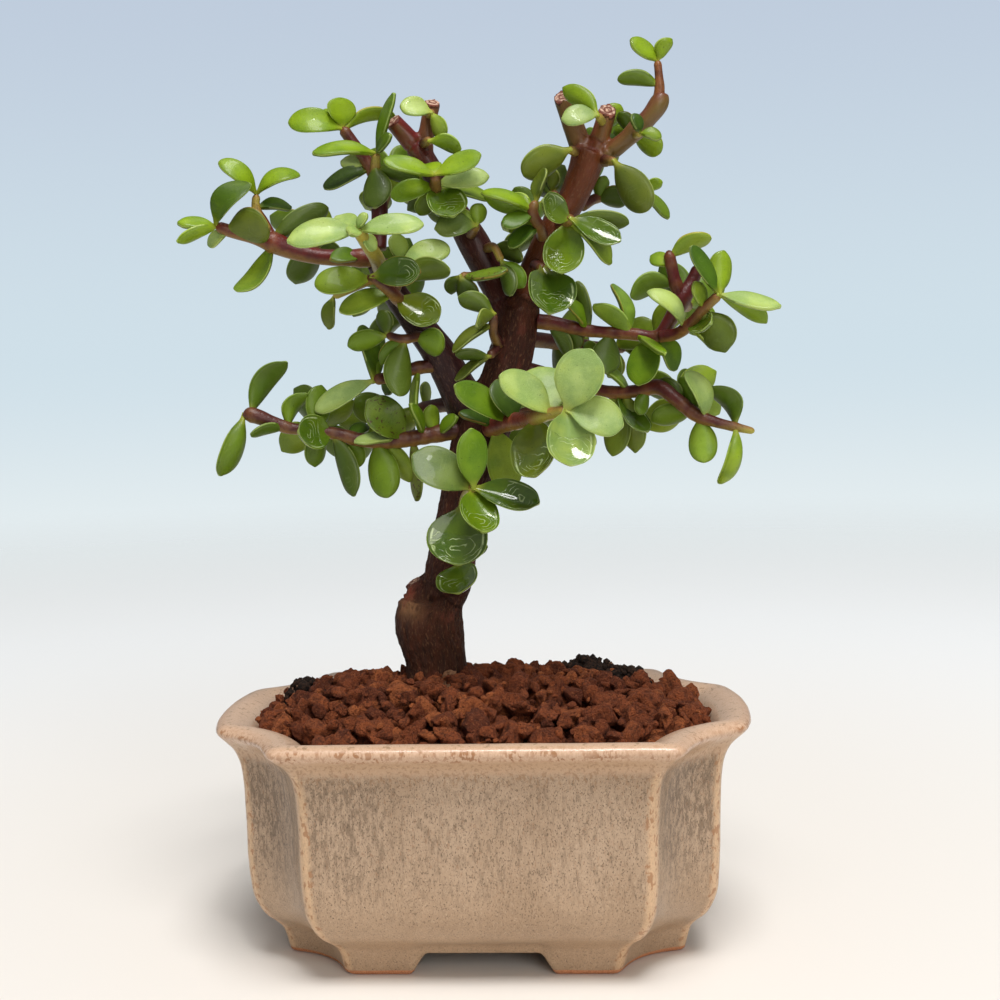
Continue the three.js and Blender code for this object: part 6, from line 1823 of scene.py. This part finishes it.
# ---------------------------------------------------------------- bark
# [colour, share of the fissures, how smooth and shiny the bark is]
LIMB_LOOKS = {
    "stump": [(74, 38, 21), 1.0, 0.0],
    "scar": [(50, 24, 24), 0.8, 0.1],
    "leader": [(64, 27, 11), 0.9, 0.1],
    "left_limb": [(44, 15, 13), 0.25, 0.65],
    "inner_limb": [(57, 15, 10), 0.2, 0.75],
    "red_stub": [(116, 18, 24), 0.05, 1.0],
    "brown_stub": [(118, 72, 44), 0.15, 0.8],
    "crown_limb": [(95, 45, 10), 0.3, 0.65],
    "crown_left_stub": [(104, 72, 36), 0.1, 1.0],
    "crown_middle_stub": [(116, 52, 24), 0.1, 1.0],
    "crown_right_limb": [(108, 76, 40), 0.1, 1.0],
}
# how far along each young limb the ring at its foot lies
COLLARS = {
    "crown_left_stub": 2.6, "crown_middle_stub": 3.4, "crown_right_limb": 3.0, "red_stub": 3.2,
    "brown_stub": 3.0, "crown_limb": 5.4, "inner_limb": 5.0,
}
# the crease round the stump, the tan patch under it, and the scar with its torn edge
CREASE_Z = 79.0
TAN_PATCH = (-17.5, 77.0)
TAN_COLOUR = (150, 108, 72)
SCAR = np.array([-15.0, 9.0, 82.0])
TORN_EDGE = np.array([-3.0, -1.5, -1.5])
TORN_COLOUR = (138, 62, 44)
PATCH_SHARE = 0.8


def limb_looks(points):
    """Bark colour, share of the fissures and smoothness, blended where limbs meet."""
    total = np.zeros(len(points))
    looks = np.zeros((len(points), 5))
    for name, (line, radii) in limb_lines().items():
        away = np.linalg.norm(points[:, None, :] - line[None, :, :], axis=2) - radii[None, :]
        weight = np.exp(-np.maximum(0, away.min(1)) / 0.35) + 1e-9
        colour, relief, smooth = LIMB_LOOKS[name]
        looks += weight[:, None] * np.array([*painted(colour), relief, smooth])
        total += weight
    looks /= total[:, None]
    return looks[:, :3], looks[:, 3], looks[:, 4]


def collars(points):
    """How deep in the ring at a young limb's foot each point lies, 0 to 1."""
    deep = np.zeros(len(points))
    limbs = limb_lines()
    for name, start in COLLARS.items():
        line, radii = limbs[name]
        at = int(np.searchsorted(walked_along(line), start))
        forward = (points - line[at]) @ unit(line[at + 1] - line[at])
        away = np.linalg.norm(points - line[at], axis=1)
        deep = np.maximum(deep, hump(forward, 0.35) * (away < 1.5 * radii[at]))
    return deep


def carve_bark(piece, settings):
    """Cuts fissures along the limbs and stores where each point lies on its limb."""
    mesh = piece.data
    places = np.empty((len(mesh.vertices), 3), np.float32)
    normals = np.empty_like(places)
    mesh.vertices.foreach_get("co", places.ravel())
    mesh.vertex_normals.foreach_get("vector", normals.ravel())
    points = places.astype(float) / MM - POT_PLACE / MM
    grain, cut, ring = on_limbs(points)
    ridged = 1 - np.abs(noise_at(grain * [0.85, 0.85, 0.14], 1.0, 2.0, 2))
    knots = noise_at(points, 0.16, 9.0, 2)
    tint, relief, smooth = limb_looks(points)
    depth = relief * (settings.fissures * (ridged - 0.8) + 0.22 * knots)
    wander = points[:, 2] - CREASE_Z - 0.8 * noise_at(points * [1, 1, 0], 0.25, 6.0, 2)
    leftward = 1 - step(-9.0, -4.0, points[:, 0])
    crease = hump(wander, 0.45) * leftward
    lip = hump(wander + 1.1, 0.8) * leftward
    ragged = np.exp(-np.sum((points - SCAR) ** 2, axis=1) / 22.0) * noise_at(points, 0.55, 4.0, 3)
    depth = (depth - 0.6 * crease + 0.3 * lip + 1.1 * ragged - 0.3 * collars(points)) * (1 - cut)
    moved = points + normals.astype(float) * depth[:, None]
    mesh.vertices.foreach_set("co", ((moved + POT_PLACE / MM) * MM).ravel())
    mesh.update()
    patch = hump(points[:, 0] - TAN_PATCH[0], 3.2) * hump(points[:, 2] - TAN_PATCH[1], 2.4)
    torn = np.exp(-np.sum((points - SCAR - TORN_EDGE) ** 2, axis=1) / 6.0)
    for share, colour in ((patch, TAN_COLOUR), (torn, TORN_COLOUR)):
        share = PATCH_SHARE * share[:, None]
        tint = tint * (1 - share) + painted(colour) * share
    store(mesh, "grain", grain, "FLOAT_VECTOR")
    store(mesh, "cut", cut)
    store(mesh, "ring", ring)
    store(mesh, "smooth", smooth)
    store(mesh, "tint", tint, "FLOAT_COLOR")


# ---------------------------------------------------------------- stage
CAMERA_TILT = 0.083
CAMERA_YAW = 0.045
CAMERA_ROLL = 0.0195
CAMERA_EYE = (20.0, -342.4, 131.0)
CAMERA_LENS = 54
CAMERA_SENSOR = 36
CAMERA_CLIP = 0.01
# [place, size, colour] of each light in metres; its power is the stage's setting of that name
LIGHTS = {
    "key": [(0.2, -0.75, 2.0), 1.0, (1.0, 0.99, 0.98)],
    "fill": [(0.9, -1.9, 0.9), 1.2, (1.0, 0.98, 0.95)],
    "glint": [(0.15, -0.7, 1.1), 0.1, (1.0, 1.0, 1.0)],
}
LIGHTS_AIM = Vector((0, 0, 0.1))
FLOOR_SIDES = 96


def camera_matrix():
    """The camera's place and turn in the frame's axes, metres."""
    yaw = Matrix.Rotation(CAMERA_YAW, 3, "Z")
    right = yaw @ Vector((1, 0, 0))
    up = yaw @ Vector((0, math.sin(CAMERA_TILT), math.cos(CAMERA_TILT)))
    back = right.cross(up)
    c, s = math.cos(CAMERA_ROLL), math.sin(CAMERA_ROLL)
    matrix = Matrix((right * c - up * s, right * s + up * c, back)).transposed().to_4x4()
    matrix.translation = Vector(CAMERA_EYE) * MM + Vector(POT_PLACE)
    return matrix


def add_camera():
    data = bpy.data.cameras.new("camera")
    data.lens = CAMERA_LENS
    data.sensor_width = CAMERA_SENSOR
    data.clip_start = CAMERA_CLIP
    camera = added("camera", data)
    camera.matrix_world = camera_matrix()
    bpy.context.scene.camera = camera


def add_light(name, place, size, power, colour):
    data = bpy.data.lights.new(name, "AREA")
    data.shape = "DISK"
    data.size = size
    data.energy = power
    data.color = colour
    lamp = added(name, data)
    lamp.location = place
    lamp.rotation_euler = (LIGHTS_AIM - Vector(place)).to_track_quat("-Z", "Y").to_euler()


def world_sky(settings):
    """Pale sky over a cream ground, by direction."""
    world = bpy.data.worlds.new("sky")
    world.use_nodes = True
    bpy.context.scene.world = world
    g = Graph(world.node_tree)
    z = g.height(g.node("TexCoord").outputs["Generated"])
    backdrop = g.over(
        (241, 240, 237),
        (g.between(z, -0.2, -0.1), (230, 238, 240)),
        (g.between(z, -0.12, 0.02), (208, 224, 233)),
        (g.between(z, 0.0, 0.28), (190, 203, 220)),
    )
    light = g.blend(g.between(z, -0.4, 0.7), (0.6, 0.6, 0.59, 1), (1.0, 1.0, 1.02, 1))
    background = world.node_tree.nodes["Background"]
    g.put(background.inputs["Color"], light)
    background.inputs["Strength"].default_value = settings.sky
    seen = g.node("Background", {"Color": backdrop, "Strength": settings.backdrop})
    ray = g.node("LightPath").outputs["Is Camera Ray"]
    mixed = g.node("MixShader", {0: ray, 1: background.outputs[0], 2: seen.outputs[0]})
    g.put(world.node_tree.nodes["World Output"].inputs["Surface"], mixed.outputs[0])


def floor_material(settings):
    """A pale floor that fades out far from the pot."""
    made, g, shader = new_material("floor", roughness=0.7, specular_ior_level=0.2)
    place = g.node("TexCoord").outputs["Object"]
    far = g.node("VectorMath", {0: place}, operation="LENGTH").outputs["Value"]
    g.put(shader["Base Color"], g.blend(g.between(far, 0.05, 0.5), (229, 224, 217), (239, 242, 243)))
    g.put(shader["Alpha"], g.between(far, 0.16 * settings.floor, 0.8 * settings.floor, 1.0, 0.0))
    return made


def floor_disc(settings):
    """A round floor under the pot's feet."""
    turns = np.linspace(0, 2 * math.pi, FLOOR_SIDES, endpoint=False)
    ring = np.column_stack([np.cos(turns), np.sin(turns), np.zeros(FLOOR_SIDES)]) * settings.floor
    mesh = bpy.data.meshes.new("floor")
    mesh.from_pydata(ring.tolist(), [], [list(range(FLOOR_SIDES))])
    mesh.materials.append(floor_material(settings))
    disc = added("floor", mesh)
    disc.location = (0, 0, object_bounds()[0].z)
    return disc


# ---------------------------------------------------------------- settings
class BonsaiPotSettings(bpy.types.PropertyGroup):
    unevenness: FloatProperty(
        name="Unevenness", description="How far the thrown walls stray, millimetres", default=0.22, min=0.0)
    glaze: FloatVectorProperty(
        name="Glaze", description="Colour of the walls", default=paint(177, 151, 125)[:3], subtype="COLOR")
    lip: FloatVectorProperty(
        name="Lip", description="Colour of the lip", default=paint(204, 171, 144)[:3], subtype="COLOR")


class BonsaiSoilSettings(bpy.types.PropertyGroup):
    clay: FloatVectorProperty(
        name="Clay", description="Colour of the granules", default=paint(154, 80, 44)[:3], subtype="COLOR")
    crumbs: IntProperty(name="Crumbs", description="Clods on the compost", default=320, min=0)
    roots: IntProperty(name="Roots", description="Fine roots on the compost", default=26, min=0)


class BonsaiTrunkSettings(bpy.types.PropertyGroup):
    voxel: FloatProperty(
        name="Skin size", description="Size of the skin's faces, millimetres", default=0.5)
    fissures: FloatProperty(
        name="Fissures", description="Depth of the bark's fissures, millimetres", default=0.7)
    tone: FloatVectorProperty(
        name="Bark", description="Colour laid over the bark", default=(1.0, 1.0, 1.0), subtype="COLOR")


class BonsaiLeafSettings(bpy.types.PropertyGroup):
    sides: IntProperty(name="Sides", description="Points round a leaf", default=22, min=8)
    thickness: FloatProperty(name="Thickness", description="Thickness of a leaf, millimetres", default=1.9)
    cup: FloatProperty(name="Cup", description="How far the sides of a leaf turn up", default=0.28)
    tone: FloatVectorProperty(
        name="Leaves", description="Colour laid over the leaves", default=(1.0, 1.0, 1.0), subtype="COLOR")


class BonsaiStageSettings(bpy.types.PropertyGroup):
    floor: FloatProperty(name="Floor", description="Radius of the floor", default=1.6, unit="LENGTH")
    backdrop: FloatProperty(name="Backdrop", description="Brightness of the backdrop", default=1.0)
    sky: FloatProperty(name="Sky", description="Strength of the sky's light", default=0.31)
    key: FloatProperty(name="Key light", description="Power of the light above", default=41.0)
    fill: FloatProperty(name="Fill light", description="Power of the light in front", default=15.0)
    glint: FloatProperty(name="Glint", description="Power of the small bright light", default=1.4)


class BonsaiSettings(bpy.types.PropertyGroup):
    pot: PointerProperty(type=BonsaiPotSettings)
    soil: PointerProperty(type=BonsaiSoilSettings)
    trunk: PointerProperty(type=BonsaiTrunkSettings)
    leaf: PointerProperty(type=BonsaiLeafSettings)
    stage: PointerProperty(type=BonsaiStageSettings)


# ---------------------------------------------------------------- operators
class BONSAI_OT_pot(bpy.types.Operator):
    """Build the glazed pot"""
    bl_idname = "bonsai.pot"
    bl_label = "Pot"
    bl_options = {"REGISTER", "UNDO"}

    def execute(self, context):
        settings = context.scene.bonsai.pot
        pot = pot_shape(settings).build("pot_glazed", [glaze_material(settings)])
        drill(pot)
        settle(pot, "glaze", "pot")
        mesh = mesh_material()
        for name in ("drain_mesh_left", "drain_mesh_right"):
            node = bpy.data.objects.get(name)
            if node is None:
                raise RuntimeError("no node is named " + name)
            node.data.materials.clear()
            node.data.materials.append(mesh)
        return {"FINISHED"}


class BONSAI_OT_soil(bpy.types.Operator):
    """Build the granules and the compost under them"""
    bl_idname = "bonsai.soil"
    bl_label = "Soil"
    bl_options = {"REGISTER", "UNDO"}

    def execute(self, context):
        settings = context.scene.bonsai.soil
        clay = granule_material(settings)
        for kind, shape in granules_shapes().items():
            settle(shape.build("granules_" + kind, [clay]), "granules", "granules")
        heap = compost_shape(settings).build("compost_heap", [compost_material(), root_material(), clay])
        settle(heap, "compost", "compost")
        return {"FINISHED"}


class BONSAI_OT_trunk(bpy.types.Operator):
    """Build the trunk and its old limbs"""
    bl_idname = "bonsai.trunk"
    bl_label = "Trunk"
    bl_options = {"REGISTER", "UNDO"}

    def execute(self, context):
        settings = context.scene.bonsai.trunk
        trunk = trunk_shape().build("trunk_bark", [])
        skinned(trunk, settings.voxel * (1))
        carve_bark(trunk, settings)
        trunk.data.materials.clear()
        trunk.data.materials.append(bark_material(settings))
        settle(trunk, "bark", "trunk")
        return {"FINISHED"}


class BONSAI_OT_sprays(bpy.types.Operator):
    """Build every leafy stem"""
    bl_idname = "bonsai.sprays"
    bl_label = "Leafy stems"
    bl_options = {"REGISTER", "UNDO"}

    def execute(self, context):
        settings = context.scene.bonsai.leaf
        materials = [stem_material(), leaf_material(settings)]
        leaves = lay_leaves()
        for order, (name, stems) in enumerate(stems_by_name().items()):
            chance = np.random.default_rng(SEED + 100 + order)
            own = [leaf for leaf in leaves if leaf["owner"] == name]
            joints = [leaf["base"] for leaf in own]
            shape = Shape()
            for points in stems:
                stem_mesh(shape, points, TWIG_LOOKS.get(name, PLAIN_TWIG), joints)
            for leaf in own:
                leaf_mesh(shape, leaf, settings, chance)
            settle(shape.build(name + "_fine", materials), "leaf", name)
        return {"FINISHED"}


class BONSAI_OT_stage(bpy.types.Operator):
    """Set the camera, the floor, the sky and the lights"""
    bl_idname = "bonsai.stage"
    bl_label = "Stage"
    bl_options = {"REGISTER", "UNDO"}

    def execute(self, context):
        settings = context.scene.bonsai.stage
        add_camera()
        floor_disc(settings)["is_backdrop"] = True
        world_sky(settings)
        for name, (place_at, size, colour) in LIGHTS.items():
            add_light(name, place_at, size, getattr(settings, name), colour)
        context.scene.view_settings.view_transform = "Standard"
        context.scene.view_settings.look = "None"
        return {"FINISHED"}


OPERATORS = (BONSAI_OT_pot, BONSAI_OT_soil, BONSAI_OT_trunk, BONSAI_OT_sprays, BONSAI_OT_stage)


class BONSAI_PT_panel(bpy.types.Panel):
    bl_label = "Dwarf jade bonsai"
    bl_idname = "BONSAI_PT_panel"
    bl_space_type = "VIEW_3D"
    bl_region_type = "UI"
    bl_category = "Bonsai"

    def draw(self, context):
        settings = context.scene.bonsai
        for group in (settings.pot, settings.soil, settings.trunk, settings.leaf, settings.stage):
            box = self.layout.box()
            for name in group.__annotations__:
                box.prop(group, name)
        for operator in OPERATORS:
            self.layout.operator(operator.bl_idname)


CLASSES = (
    BonsaiPotSettings,
    BonsaiSoilSettings,
    BonsaiTrunkSettings,
    BonsaiLeafSettings,
    BonsaiStageSettings,
    BonsaiSettings,
    *OPERATORS,
    BONSAI_PT_panel,
)


def register():
    for cls in CLASSES:
        bpy.utils.register_class(cls)
    bpy.types.Scene.bonsai = PointerProperty(type=BonsaiSettings)


def unregister():
    del bpy.types.Scene.bonsai
    for cls in reversed(CLASSES):
        bpy.utils.unregister_class(cls)


def main():
    """Builds everything."""
    register()
    bpy.ops.bonsai.pot()
    bpy.ops.bonsai.soil()
    bpy.ops.bonsai.trunk()
    bpy.ops.bonsai.sprays()
    bpy.ops.bonsai.stage()


if __name__ == "__main__":
    main()
